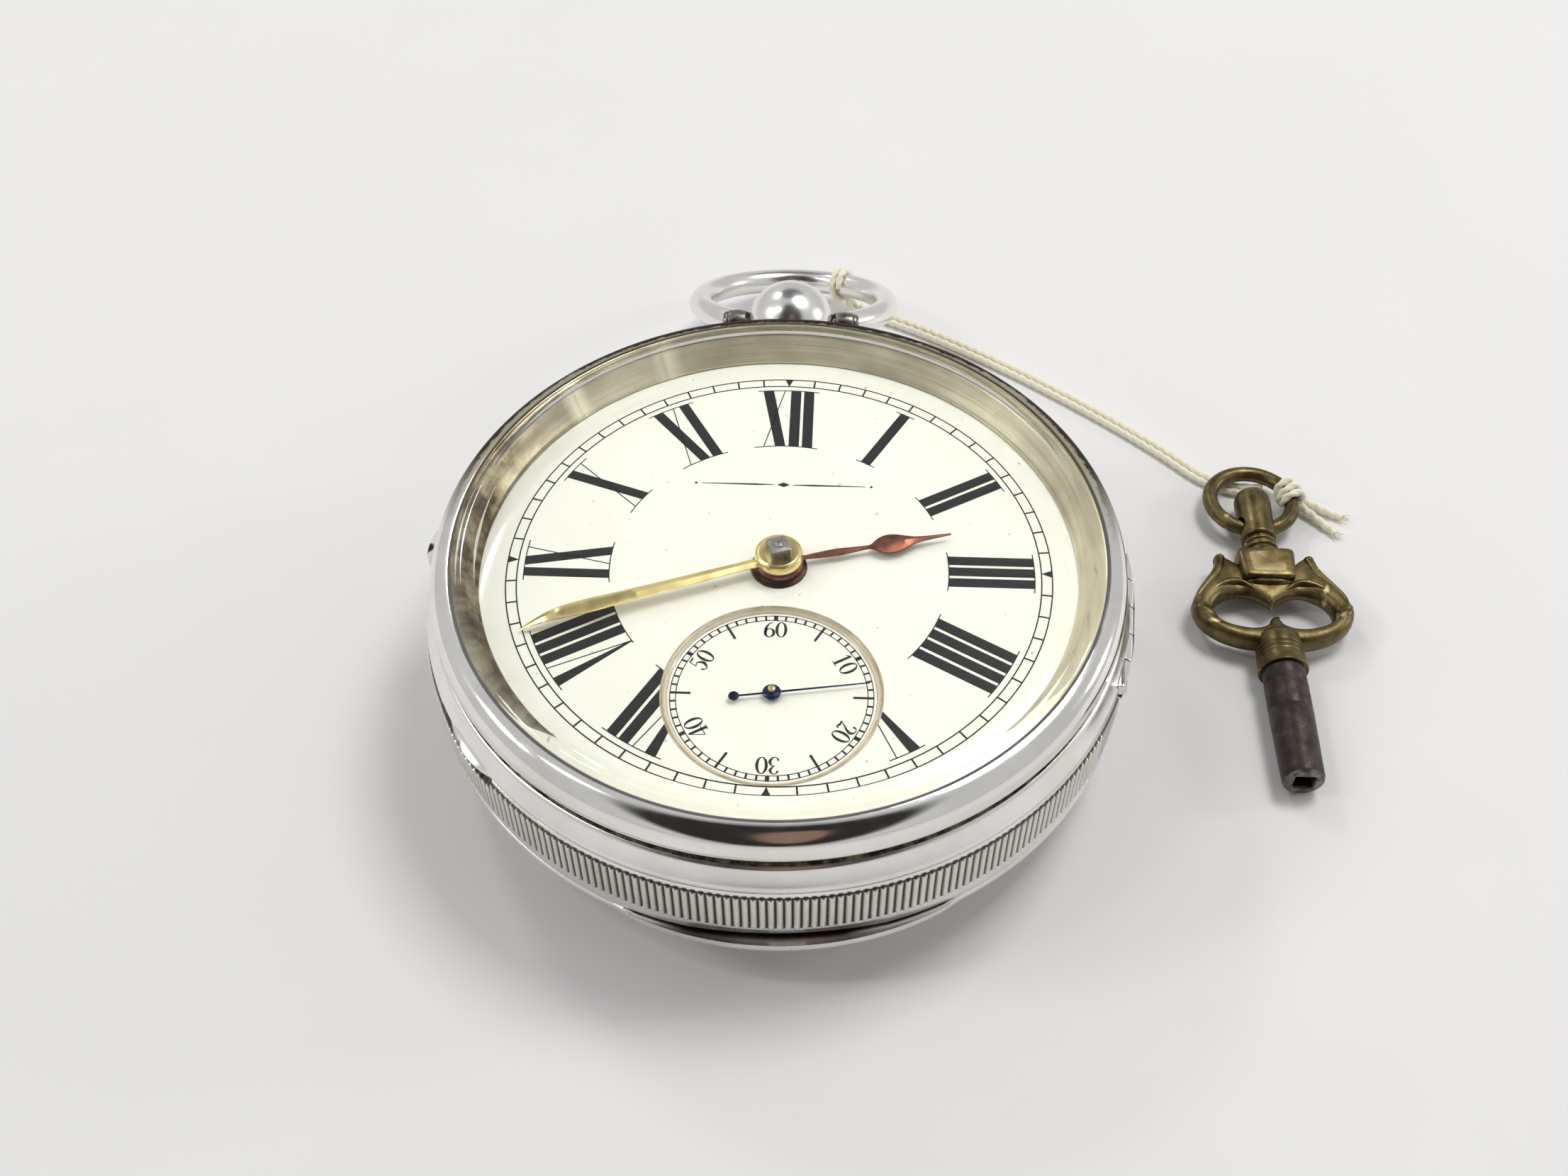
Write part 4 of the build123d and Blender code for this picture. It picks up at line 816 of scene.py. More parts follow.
# ---- camera, lights and floor ---------------------------------------------------------------
def make_camera():
    """The camera at the photographed angle, aimed a little to the right of the dial's middle."""
    azimuth, elevation, roll = math.radians(2.765), math.radians(49.94), math.radians(0.50)
    aim, distance = Vector((0.46, -1.92, 13.4)), 125.0
    level, down = math.cos(elevation), -math.sin(elevation)
    forward = Vector((-math.sin(azimuth) * level, math.cos(azimuth) * level, down))
    side = forward.cross(Vector((0, 0, 1))).normalized()
    up = side.cross(forward) * math.cos(roll) + side * math.sin(roll)
    right = forward.cross(up)
    data = bpy.data.cameras.new("camera")
    data.lens, data.sensor_width, data.sensor_fit = 38.61, 36.0, "HORIZONTAL"
    data.clip_start, data.clip_end = 0.002, 20
    camera = bpy.data.objects.new("camera", data)
    bpy.context.scene.collection.objects.link(camera)
    turn = Matrix((right, up, -forward)).transposed().to_4x4()
    camera.matrix_world = Matrix.Translation((aim - forward * distance) * MM) @ turn
    bpy.context.scene.camera = camera


LIGHTS_AWAY = 560
LIGHTS = [  # name, direction from the watch, size in millimetres and power in watts
    ("panel_main", (0.33, 0.31, 0.89), (200, 160), 1.20),
    ("panel_left", (-0.78, -0.03, 0.63), (110, 80), 0.40),
    ("panel_right", (0.91, 0.22, 0.34), (90, 70), 0.35),
    ("panel_near", (-0.48, -0.05, 0.87), (26, 60), 0.08),
    ("panel_near_2", (-0.54, -0.06, 0.84), (26, 60), 0.08),
    ("panel_far", (-0.42, 0.62, 0.66), (80, 60), 0.30),
]


def area_light(name, toward, size, power):
    """A soft panel that faces the watch."""
    data = bpy.data.lights.new(name, "AREA")
    data.shape, data.size, data.size_y = "RECTANGLE", size[0] * MM, size[1] * MM
    data.energy, data.color = power, (1.0, 0.99, 0.97)
    light = bpy.data.objects.new(name, data)
    bpy.context.scene.collection.objects.link(light)
    place, target = Vector(toward).normalized() * LIGHTS_AWAY * MM, Vector((0, 0, 8)) * MM
    turn = (target - place).to_track_quat("-Z", "Y").to_matrix().to_4x4()
    light.matrix_world = Matrix.Translation(place) @ turn


def make_room():
    """A pale room in which the viewer leans over the watch, for the polished silver to mirror."""
    world = bpy.data.worlds.new("room")
    bpy.context.scene.world = world
    world.use_nodes = True
    room = Tree(world.node_tree)
    x, y, z = room.parts(room.new("TexCoord").outputs["Generated"])
    lean = room.math("ARCTAN2", room.math("MULTIPLY", y, -1.0), z)

    def patch(middle, half, sideways, width, inner, outer):
        """White inside an oval patch of the sky, black outside it. Its middle and half size are
        degrees from straight up toward the viewer, and the edge fades from inner to outer."""
        a = room.math("DIVIDE", room.math("SUBTRACT", lean, math.radians(middle)), math.radians(half))
        b = room.math("DIVIDE", room.math("SUBTRACT", x, sideways), width)
        apart = room.math("ADD", room.math("MULTIPLY", a, a), room.math("MULTIPLY", b, b))
        return room.ramp(room.math("DIVIDE", apart, 2.0), (inner / 2, 1.0), (outer / 2, 0.0))

    viewer = patch(43, 52, 0.0, 0.56, 0.72, 1.08)
    ceiling = patch(-39, 20, 0.0, 0.42, 0.60, 1.15)
    hands = patch(48, 30, 0.07, 0.15, 0.65, 1.0)
    colour = room.mix(viewer, (0.98, 0.985, 1.0), (0.045, 0.041, 0.038))
    colour = room.mix(ceiling, colour, (0.24, 0.24, 0.25))
    colour = room.mix(hands, colour, (0.42, 0.27, 0.21))
    background = room.nodes["Background"]
    room.feed(background.inputs["Color"], colour)
    background.inputs["Strength"].default_value = 0.60
    for name, toward, size, power in LIGHTS:
        area_light(name, toward, size, power)


def make_floor():
    """A floor a metre and more across."""
    half = 900 * MM
    mesh = bpy.data.meshes.new("floor")
    corners = [(x * half, y * half, 0.0) for x, y in ((-1, -1), (1, -1), (1, 1), (-1, 1))]
    mesh.from_pydata(corners, [], [(0, 1, 2, 3)])
    mesh.materials.append(floor_material())
    floor = bpy.data.objects.new("floor", mesh)
    bpy.context.scene.collection.objects.link(floor)


# ---- string ---------------------------------------------------------------------------------
def beside(points, offset):
    """The route moved sideways, level, by an offset."""
    moved = []
    for n, point in enumerate(points):
        before, after = points[max(n - 1, 0)], points[min(n + 1, len(points) - 1)]
        dx, dy = after[0] - before[0], after[1] - before[1]
        size = math.hypot(dx, dy)
        moved.append((point[0] - dy / size * offset, point[1] + dx / size * offset, point[2]))
    return moved


def route_line(points):
    """Points read from a smooth NURBS spline with the route's points as its control points."""
    curve = bpy.data.curves.new("route", "CURVE")
    curve.dimensions, curve.resolution_u = "3D", ROUTE_FINENESS
    spline = curve.splines.new("NURBS")
    spline.points.add(len(points) - 1)
    for place, point in zip(spline.points, points):
        place.co = (point[0] * MM, point[1] * MM, point[2] * MM, 1)
    spline.order_u = 3
    spline.use_endpoint_u = True
    scratch = bpy.data.objects.new("route", curve)
    bpy.context.scene.collection.objects.link(scratch)
    mesh = bpy.data.meshes.new_from_object(scratch)
    line = np.array([v.co for v in mesh.vertices]) / MM
    bpy.data.objects.remove(scratch)
    bpy.data.curves.remove(curve)
    bpy.data.meshes.remove(mesh)
    return line


TWIST_PITCH = 1.9  # of the two plies
STEP = 0.12  # between a string's rings of points


def plied(phi, s):
    """The outline of two plies laid together, turning along the string."""
    lobe = np.abs(np.cos(phi - s * 2 * math.pi / TWIST_PITCH))
    return 0.74 + 0.26 * lobe**1.3 + 0.03 * np.cos(9 * phi + s * 21)


def resampled(line, step):
    """The line's points at even distances."""
    return evenly(line, max(int(travelled(line)[-1] / step), 4))


def evenly(line, count):
    """A line as count points at even distances, in any dimension."""
    gone = travelled(line)
    at = np.linspace(0, gone[-1], count)
    return np.stack([np.interp(at, gone, axis) for axis in line.T], -1)


def fuzz(shape, line, radius, count, reach):
    """Loose fibres that stand off a string."""
    points, tangents, across, up = frames_along(line, False)
    for _ in range(count):
        n = random.randrange(len(points))
        a = random.uniform(0, 2 * math.pi)
        out = across[n] * math.cos(a) + up[n] * math.sin(a)
        if out[2] < -0.3:
            continue
        start = points[n] + out * radius * 0.7
        lean = tangents[n] * random.uniform(-1.2, 1.2)
        tip = start + (out + lean) * reach * random.uniform(0.5, 1.0)
        middle = (start + tip) / 2 + out * reach * 0.2
        fibre = smooth_line([start, middle, tip], 3)
        shape.add_shape(swept(fibre, np.linspace(0.016, 0.008, len(fibre)), 4))


def make_strands(knot):
    """The doubled string from the bow to the key's ring, as two cords."""
    for side, offset in (("near", -STRAND_OFFSET), ("far", STRAND_OFFSET)):
        line = route_line(beside(STRING_ROUTE, offset))
        rings = resampled(line, STEP)
        radius = np.full(len(rings), STRING_R)
        radius[0] = radius[-1] = 0.6 * STRING_R
        shape = swept(rings, radius, 20, section=plied)
        fuzz(shape, rings, STRING_R, 70, 0.28)
        strand = piece(f"twisted_strand_{side}", shape, [COTTON], None,
                       [f"string_strand_{side}"], 60)
        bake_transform(strand)


def bow_matrix():
    """The bow's own plane: Y runs from the pivot to the ring's far end."""
    return spot(PENDANT_X, PENDANT_Y, PENDANT_Z, turn_about("X", -BOW_DROOP))


def bow_point(angle):
    """A point of the ring's centre line, in degrees round from the pivot."""
    a = math.radians(angle)
    return BOW_RING_R * math.sin(a), BOW_REACH - BOW_RING_R * math.cos(a)


def coil(radius, turns, advance, wobble=0.03):
    """A helix about X, as string lies when it is wound round a ring."""
    turn = np.arange(int(turns * COIL_STEPS) + 1) / COIL_STEPS
    a = 2 * math.pi * turn
    r = radius * (1 + wobble * np.sin(2.3 * a + 0.7))
    return np.stack([advance * (turn - turns / 2), r * np.cos(a), r * np.sin(a)], -1)


def make_hitch():
    """Two turns of string round the bow, with the leads that join them to the two strands."""
    x, y = bow_point(HITCH_AT)
    line = coil(BOW_TUBE_R + STRING_R * 0.9, 1.75, 0.74)
    turns = swept(resampled(line, STEP), STRING_R, 20, section=plied)
    fuzz(turns, line, STRING_R, 24, 0.25)
    place = bow_matrix() @ spot(x, y, 0, turn_about("Z", HITCH_AT))
    shape = turns.moved(place)
    middle = np.array(place.translation)
    for offset in (-STRAND_OFFSET, STRAND_OFFSET):
        strand = route_line(beside(STRING_ROUTE, offset))
        way = strand[0] - strand[3]
        way /= np.linalg.norm(way)
        towards = strand[0] - middle
        towards /= np.linalg.norm(towards)
        lead = smooth_line([middle + towards * BOW_TUBE_R, strand[0] + way * 0.5 + (0, 0, 0.22), strand[0],
                            strand[0] - way * 0.3])
        shape.add_shape(swept(resampled(lead, STEP), STRING_R, 20, section=plied))
    piece("string_hitch", shape, [COTTON], "bow", ["bow_hitch"], 60)


def make_knot():
    """Two turns round the key's ring, drawn tight over each other."""
    place = spot(KEY_X + KEY_RING_R - 0.06, KEY_RING_Y + 0.9, 1.62, turn_about("Z", 17 + 90))
    line = coil(KEY_RING_TUBE + STRING_R * 0.95, 2.3, 0.74, 0.06)
    shape = swept(resampled(line, STEP), STRING_R, 20, section=plied)
    fuzz(shape, line, STRING_R, 24, 0.25)
    return piece("string_knot_turns", shape.moved(place), [COTTON], "case",
                 ["string_knot"], 60)


def make_tails():
    """The cut ends beyond the knot, frayed at their tips."""
    shape = Shape()
    for route in TAIL_ROUTES:
        line = resampled(route_line(route), 0.1)
        taper = np.interp(np.linspace(0, 1, len(line)), [0, 0.7, 1], [1.0, 1.0, 0.8])
        shape.add_shape(swept(line, 1.2 * STRING_R * taper, 18, section=plied))
        fuzz(shape, line, STRING_R, 16, 0.22)
        tip, way = line[-1], line[-1] - line[-4]
        way /= np.linalg.norm(way)
        across = np.cross(way, (0, 0, 1))
        for _ in range(16):
            spread = random.uniform(-0.75, 0.75)
            start = tip - way * 0.15 + across * spread * 0.25 + np.array([0, 0, random.uniform(-0.12, 0.15)])
            reach = random.uniform(0.35, 0.8)
            end = start + way * reach + across * spread * reach
            end[2] = max(0.05, end[2] + random.uniform(-0.1, 0.15))
            fibre = smooth_line([start, (start + end) / 2 + across * random.uniform(-0.06, 0.06), end], 3)
            shape.add_shape(swept(fibre, np.linspace(0.055, 0.02, len(fibre)), 6))
    piece("string_ends", shape, [COTTON], "case", ["string_tails"], 60)


# ---- case -----------------------------------------------------------------------------------
def hinge_matrix(clock, z):
    """A hinge's own frame: X outward from the watch, Z along the hinge."""
    out = Vector(polar(clock, 1.0))
    along = Vector((0, 0, 1)).cross(out)
    up = along.cross(out)
    turn = Matrix((out, up, along)).transposed().to_4x4()
    return Matrix.Translation(Vector(polar(clock, HINGE_D, z))) @ turn


def knuckle_places(hinge, owners):
    """Where one leaf's knuckles are, of those that share a hinge's length evenly."""
    clock, z, length, count = hinge
    return [hinge_matrix(clock, z) @ spot(0, 0, length * ((n + 0.5) / count - 0.5)) for n in owners]


def knuckle_shape(hinge, owners):
    """The hinge tube's pieces that one leaf owns, filed flush with the case."""
    half, shape = (hinge[2] / hinge[3] - GAP) / 2, Shape()
    profile = softened([(PIN_HOLE_R, -half), (HINGE_TUBE_R, -half), (HINGE_TUBE_R, half),
                        (PIN_HOLE_R, half)], 0.07)
    for place in knuckle_places(hinge, owners):
        shape.add_shape(turned(densified(profile, 0.25), 48), place)
    points = np.concatenate(shape.points)
    flat = np.hypot(points[:, 0], points[:, 1])
    over = flat > HINGE_FLUSH_R
    points[over, :2] *= (HINGE_FLUSH_R / flat[over])[:, None]
    shape.points = [points]
    return shape


def rod(radius, low, high, steps):
    """A plain round cutter or shank."""
    return turned([(0, low), (radius, low), (radius, high), (0, high)], steps, closed=False)


def hinge_room(hinge, owners):
    """What the other leaf's knuckles need, as cutters."""
    half = (hinge[2] / hinge[3] + GAP) / 2
    return [rod(HINGE_TUBE_R + GAP, -half, half, 40).moved(place) for place in knuckle_places(hinge, owners)]


def gate(value, low, high, fade):
    """1 between two values, falling to 0 over a fade outside them."""
    up = np.clip((value - (low - fade)) / fade, 0, 1)
    down = np.clip(((high + fade) - value) / fade, 0, 1)
    return np.minimum(up, down)


def crescent(clock, middle, half):
    """1 at a middle clock angle, falling to 0 at half a width from it."""
    return np.clip(1 - (from_clock(clock, middle) / half) ** 2, 0, 1)


def with_kinds(*runs):
    """One profile, and a material number for each of its edges, from (number, points) runs."""
    return [p for _, run in runs for p in run], [kind for kind, run in runs for _ in run]


def make_bezel():
    """The bezel with its inner cone, its roll round the crystal and its two lips."""
    low = SEAM_Z + 0.05
    cone = [(22.36, DIAL_Z + 0.1), (22.40, DIAL_Z + 0.3), (22.52, DIAL_Z + 0.42), (23.76, 15.62)]
    ledge = [(23.80, 15.70), (24.0, 15.72), (24.2, 15.76), (24.2, 16.12)]
    lip = [(24.16, 16.28), (24.02, 16.38), (24.0, 16.42)]
    roll = outline((24.02, 16.43), ((24.12, 16.45), (24.35, 16.44)), ((25.42, 15.80), (25.75, 14.75)),
                   ((25.73, 14.1), (25.44, 13.52)), detail=16)
    groove = [(25.36, 13.46), (25.34, 13.38), (25.40, 13.30)]
    cove = outline((25.62, 13.27), ((25.76, 13.19), (25.86, 13.05)), ((26.22, 12.2), (CASE_R - 0.02, 11.72)),
                   detail=8)
    edge = [*((CASE_R, z) for z in (11.66, 11.56, 11.46, 11.38)), (CASE_R - 0.02, 11.30),
            (CASE_R - 0.08, low)]
    under = [(25.6, low), (24.75, low), (24.75, DIAL_Z + 0.1)]
    profile, kinds = with_kinds((1, cone + ledge + lip), (4, roll), (2, groove), (3, cove + edge),
                                (0, under))

    def lips(clock, r, z):
        thumb = np.sqrt(crescent(clock, THUMB_AT, 4.6)) * 0.9 * gate(z, low, 11.95, 0.15)
        nail = crescent(clock, NAIL_LIP_AT, 6.2) * 0.45 * gate(z, low, 11.55, 0.25)
        return r + np.where(r > 25.3, thumb + nail, 0), z

    shape = turned(profile, 1440, lips, kinds)
    bezel = piece("bezel_shell", shape, [SILVER, REHAUT, GROOVE_SHADE, SILVER_WALL, RIM], "bezel",
                  ["bezel"], 40)
    carved(bezel, hinge_room(BEZEL_HINGE, (0, 2, 4)), 40)
    piece("bezel_knuckles", knuckle_shape(BEZEL_HINGE, (1, 3)), [SILVER], "bezel")


def make_crystal():
    """The low dome of glass, with a rounded edge in the bezel's ledge."""
    top, under = CRYSTAL_TOP, CRYSTAL_TOP - 0.4
    profile = outline((0, top), (1, top), ((14.0, top - 0.24), (23.0, top - 0.66)),
                      ((23.68, top - 0.80), (23.98, 16.28)), (24.14, 16.14), (24.14, 15.84), (23.6, 15.98),
                      (23.0, 16.24), ((13.6, top - 0.62), (1, under)), (0, under), detail=24)
    kinds = [1 if r > 23.5 else 0 for r, _ in profile[:-1]]
    glass = turned(profile, 360, kinds=kinds, closed=False)
    piece("crystal_glass_dome", glass, [CRYSTAL, CRYSTAL_EDGE], "bezel", ["crystal"], 50)


def make_case_band():
    """The band with its reeding, filed flat beside the bezel's hinge, and its seats inside."""
    top = [(24.6, 11.16), (25.5, 11.16), (26.36, 11.16), (26.44, 11.12)]
    neck = [(26.46, 11.04), *((CASE_R, z) for z in (10.94, 10.84, 10.76))]
    fine, coarse = 0.06, 0.5
    reeds = [(CASE_R, REED_HIGH - fine * n) for n in range(6)]
    reeds += [(CASE_R, REED_HIGH - 0.4 - coarse * n) for n in range(7)]
    reeds += [(CASE_R, REED_LOW + fine * n) for n in range(5, -1, -1)]
    skirt = [*((CASE_R, z) for z in (6.62, 6.4, 6.2, 6.0, 5.8)), (26.49, 5.6), (26.46, 5.48),
             (26.38, BACK_SEAM_Z)]
    inner = [(25.4, BACK_SEAM_Z), (24.45, BACK_SEAM_Z), (24.45, 6.3), (22.5, 6.3), (22.5, 9.3), (21.6, 9.3),
             (21.6, 10.8), (22.4, 10.8), (22.4, 11.5), (22.9, 11.5), (22.9, DIAL_Z - 0.05), (22.95, DIAL_Z),
             (24.55, DIAL_Z), (24.6, DIAL_Z - 0.05)]
    profile, kinds = with_kinds((0, top), (2, neck), (1, reeds), (2, skirt), (0, inner))

    def reeded(clock, r, z):
        wall = r > 26.3
        belt = gate(z, REED_LOW + 0.14, REED_HIGH - 0.14, 0.14)
        filed = gate(np.abs(from_clock(clock, BEZEL_HINGE_AT + 0.5)), -1, 20.5, 1.2)
        u = 2 * ((clock * REEDS / 360) % 1) - 1
        groove = np.abs(u) ** 1.5
        raised = belt * ((REED_R - CASE_R) - REED_DEEP * (groove * (1 - filed) + 0.55 * filed))
        recess = 1.25 * crescent(clock, NAIL_LIP_AT + 2.5, 9.0) * gate(z, 10.35, 12, 0.35)
        slot = 0.20 * crescent(clock, BACK_LIP_AT + 0.5, 15.0) * gate(z, 5.0, 6.05, 0.1)
        return r + np.where(wall, raised - recess - slot, 0), z

    shape = turned(profile, REEDS * 8, reeded, kinds)
    band = piece("case_body", shape, [SILVER, REEDED, SILVER_WALL], "case", ["case_band"], 44)
    dome_arm_slot = prism([(-1.1, 22.4), (1.1, 22.4), (1.1, 26.8), (-1.1, 26.8)], 4.75, 6.65)
    carved(band, [*hinge_room(BEZEL_HINGE, (1, 3)), *hinge_room(BACK_HINGE, (1, 3, 5)), dome_arm_slot], 44)
    shape = knuckle_shape(BEZEL_HINGE, (0, 2, 4)).add_shape(knuckle_shape(BACK_HINGE, (0, 2, 4, 6)))
    piece("case_knuckles", shape, [SILVER], "case")


def make_back_cover():
    """The outer back: flat in the middle, then a shallow bowl, with a lip to lift it by."""
    flat, bowl, wall = 6, 140.6, 0.5  # the flat's radius, the bowl's roundness and the wall

    def rise(r):
        return (r * r - flat * flat) / bowl

    out, top = CASE_R - 0.15, BACK_SEAM_Z - 0.1
    outside = outline((0, 0), (flat, 0), ((17.5, rise(17.5)), (out, rise(out) + 0.02)), detail=40)
    outside = [p for p in outside if p[1] < 4.0]
    outside += [(math.sqrt(flat * flat + bowl * h), h) for h in (4.05, 4.15, 4.25, 4.35, 4.42, 4.50, 4.58)]
    rim = [(CASE_R - 0.04, 4.66), *((CASE_R, z) for z in (4.74, 4.82, 4.90, 5.02, 5.12)),
           (CASE_R - 0.02, 5.20), (CASE_R - 0.06, 5.27), (CASE_R - 0.14, top)]
    inside = outline((25.2, top), ((17.2, rise(17.2) + wall), (flat, wall)), (0, wall), detail=32)

    def lifted(clock, r, z):
        lip = crescent(clock, BACK_LIP_AT, 28)
        reach = CASE_R + 0.62 * lip**0.7
        share = gate(z, 4.42, 5.3, 0.40) * np.clip(lip * 4, 0, 1)
        edge = np.maximum(r, r + (reach - 0.12 * gate(z, 4.0, 4.6, 0.1) - r) * share)
        return np.where(r > 25.0, edge, r), z

    shape = turned(outside + rim + inside, 1080, lifted, closed=False)
    back = piece("back_shell", shape, [SILVER_WALL], "back_cover", ["back_cover"], 40)
    carved(back, hinge_room(BACK_HINGE, (0, 2, 3, 4, 6)), 40)
    piece("back_knuckles", knuckle_shape(BACK_HINGE, (1, 5)), [SILVER], "back_cover")


def make_pendant():
    """The ball, its neck and the collar against the case, turned in one piece."""
    collar = softened([(0, -6.6), (3.05, -6.6), (3.1, -5.1), (2.75, -4.75), (2.1, -4.6)], 0.16, closed=False)
    neck = [(2.08, -4.3), (2.12, -3.6), (2.2, -3.30)]
    angles = np.linspace(math.pi - math.asin(2.1 / PENDANT_R), 0, 49)[1:-1]
    ball = [(PENDANT_R * math.sin(a), PENDANT_R * math.cos(a)) for a in angles]
    profile = collar + neck + ball + [(0, PENDANT_R)]
    shape = turned(profile, 128, closed=False).moved(spot(PENDANT_X, PENDANT_Y, PENDANT_Z,
                                                          turn_about("X", -90)))
    pendant = piece("pendant_ball", shape, [SILVER_WORN], "case", ["pendant"], 40)
    carved(pendant, [rod(REED_R + 0.02, 0, 20, 360)], 40)


def make_bow():
    """The ring, open at the ball, with an eye over each screw in painted shade."""
    start = 30
    ring = [(*bow_point(angle), 0) for angle in np.linspace(start, 360 - start, 160)]
    line = np.array([(4.75, 0.35, 0), *ring, (-4.75, 0.35, 0)])
    size = np.full(len(line), BOW_TUBE_R)
    size[0] = size[-1] = 0.9
    shape = swept(line, size, 32)
    eye = softened([(0, -0.8), (1.08, -0.8), (1.18, 0.0), (1.08, 0.8), (0.75, 0.8), (0.72, 0.62),
                    (0, 0.62)], 0.14,
                   closed=False)
    for side in (-1, 1):
        lug = turned(eye, 64, kinds=1, closed=False)
        shape.add_shape(lug, spot(side * 4.8, 0, 0, turn_about("Y", 90 * side)))
    piece("bow_ring_solid", shape.moved(bow_matrix()), [SILVER_WORN, SILVER_SHADED], "bow",
          ["bow"], 40)


def make_bow_screws():
    """Slotted heads that hold the bow on the ball, in painted shade."""
    head = softened([(0, 5.40), (0.62, 5.40), (0.98, 5.42), (1.0, 5.72), (0.9, 5.98), (0.5, 6.08),
                     (0, 6.1)], 0.06,
                    closed=False)
    slot = [(-0.16, -0.11), (0.16, -0.11), (0.16, 0.11), (-0.16, 0.11)]
    shape, slots = Shape(), []
    for side in (-1, 1):
        place = spot(PENDANT_X, PENDANT_Y, PENDANT_Z, turn_about("Y", 90 * side))
        shape.add_shape(turned(head, 48, closed=False), place)
        shape.add_shape(rod(0.58, 1.6, 5.45, 32), place)
        slots.append(prism(slot, -2, 2).moved(spot(PENDANT_X + 6.0 * side, PENDANT_Y, PENDANT_Z)))
    screws = piece("bow_screw_pair", shape, [SILVER_SHADED], "case", ["bow_screws"])
    carved(screws, slots)


# ---- dial -----------------------------------------------------------------------------------
INK_T, INK_SUNK = 0.014, 0.006  # how far the printed marks stand above the enamel and into it
WELL_R = 7.92  # of the hole for the seconds dial
CUT_R = 7.93  # the seconds dial cuts the numerals beside it off at this distance from its centre


def make_dial():
    """The enamelled plate with its hole, and the sunk seconds dial in it."""
    profile = softened(
        [(2.1, DIAL_Z - DIAL_T), (DIAL_R, DIAL_Z - DIAL_T), (DIAL_R, DIAL_Z - 0.12), (DIAL_R - 0.25, DIAL_Z),
         (2.1, DIAL_Z)], 0.1)
    dial = piece("dial_plate", turned(profile, 360), [ENAMEL], "case", ["dial"], 30)
    carved(dial, [rod(WELL_R, 12, 15, 180).moved(spot(0, SECONDS_Y, 0))], 30)

    floor_z = DIAL_Z - SUBDIAL_SUNK
    profile = outline(
        (0.35, DIAL_Z - DIAL_T), (7.9, DIAL_Z - DIAL_T), (7.9, DIAL_Z - 0.02),
        ((7.78, DIAL_Z + 0.03), (7.66, DIAL_Z - 0.04)), ((7.55, floor_z + 0.14), (7.40, floor_z + 0.012)),
        (7.3, floor_z), (0.35, floor_z), detail=8)
    shape = turned(profile, 240).moved(spot(0, SECONDS_Y, 0))
    piece("seconds_dial_plate", shape, [ENAMEL_SECONDS], "case", ["seconds_dial"], 30)


def printed(shape, corners, z, more=0.0):
    """A flat mark of ink. more sets apart the heights of marks that cross."""
    shape.add_shape(prism([tuple(c[:2]) for c in corners], z - INK_SUNK, z + INK_T + more))


def drawn(shape, points, widths, z, more=0.0):
    """A line of ink of changing width."""
    shape.add_shape(ribbon(points, widths, z - INK_SUNK, z + INK_T + more))


def outside_well(inner, outer):
    """The inner end of a line, moved outward to where the line leaves the seconds dial."""
    centre = np.array([0, SECONDS_Y])
    d, f = outer - inner, inner - centre
    a, b, c = d @ d, 2 * f @ d, f @ f - CUT_R**2
    root = b * b - 4 * a * c
    if root <= 0:
        return inner
    leave = (-b + math.sqrt(root)) / (2 * a)
    return inner + d * min(max(leave, 0.0), 1.0)


NUMERAL_TOP, NUMERAL_FOOT = 19.10, 12.72
STEM, STEM_GAP, HAIR = 0.83, 0.235, 0.085
LETTER_WIDTHS = {"I": STEM, "V": 2.02, "X": 2.06}
NUMERALS = {
    12: "XII", 1: "I", 2: "II", 3: "III", 4: "IIII", 5: "V", 7: "VII", 8: "VIII", 9: "IX", 10: "X", 11: "XI",
}


def on_clock(clock, x, y):
    """A numeral's own place, with x clockwise and y outward, on the dial."""
    a = math.radians(clock)
    return np.array([x * math.cos(a) + y * math.sin(a), -x * math.sin(a) + y * math.cos(a)])


def stroke(shape, clock, foot, top, foot_width, top_width, z):
    """A straight stroke from a numeral's foot circle to its top circle."""
    inner, outer = [], []
    for u in np.linspace(-0.5, 0.5, 9):
        xf, xt = foot + u * foot_width, top + u * top_width
        a = on_clock(clock, xf, math.sqrt(NUMERAL_FOOT**2 - xf * xf))
        b = on_clock(clock, xt, math.sqrt(NUMERAL_TOP**2 - xt * xt))
        a = outside_well(a, b)
        if math.dist(a, b) < 0.02:
            return
        inner.append(a)
        outer.append(b)
    printed(shape, inner + outer[::-1], z)


def serif(shape, clock, radius, left, right, z):
    """A hairline along a circle, across the ends of a numeral's strokes."""
    run = [on_clock(clock, x, math.sqrt(radius**2 - x * x)) for x in np.linspace(left, right, 15)]
    centre = np.array([0, SECONDS_Y])
    kept = [p for p in run if math.dist(p, centre) > CUT_R + 0.03]
    if len(kept) > 1:
        drawn(shape, kept, [HAIR] * len(kept), z, -0.002)


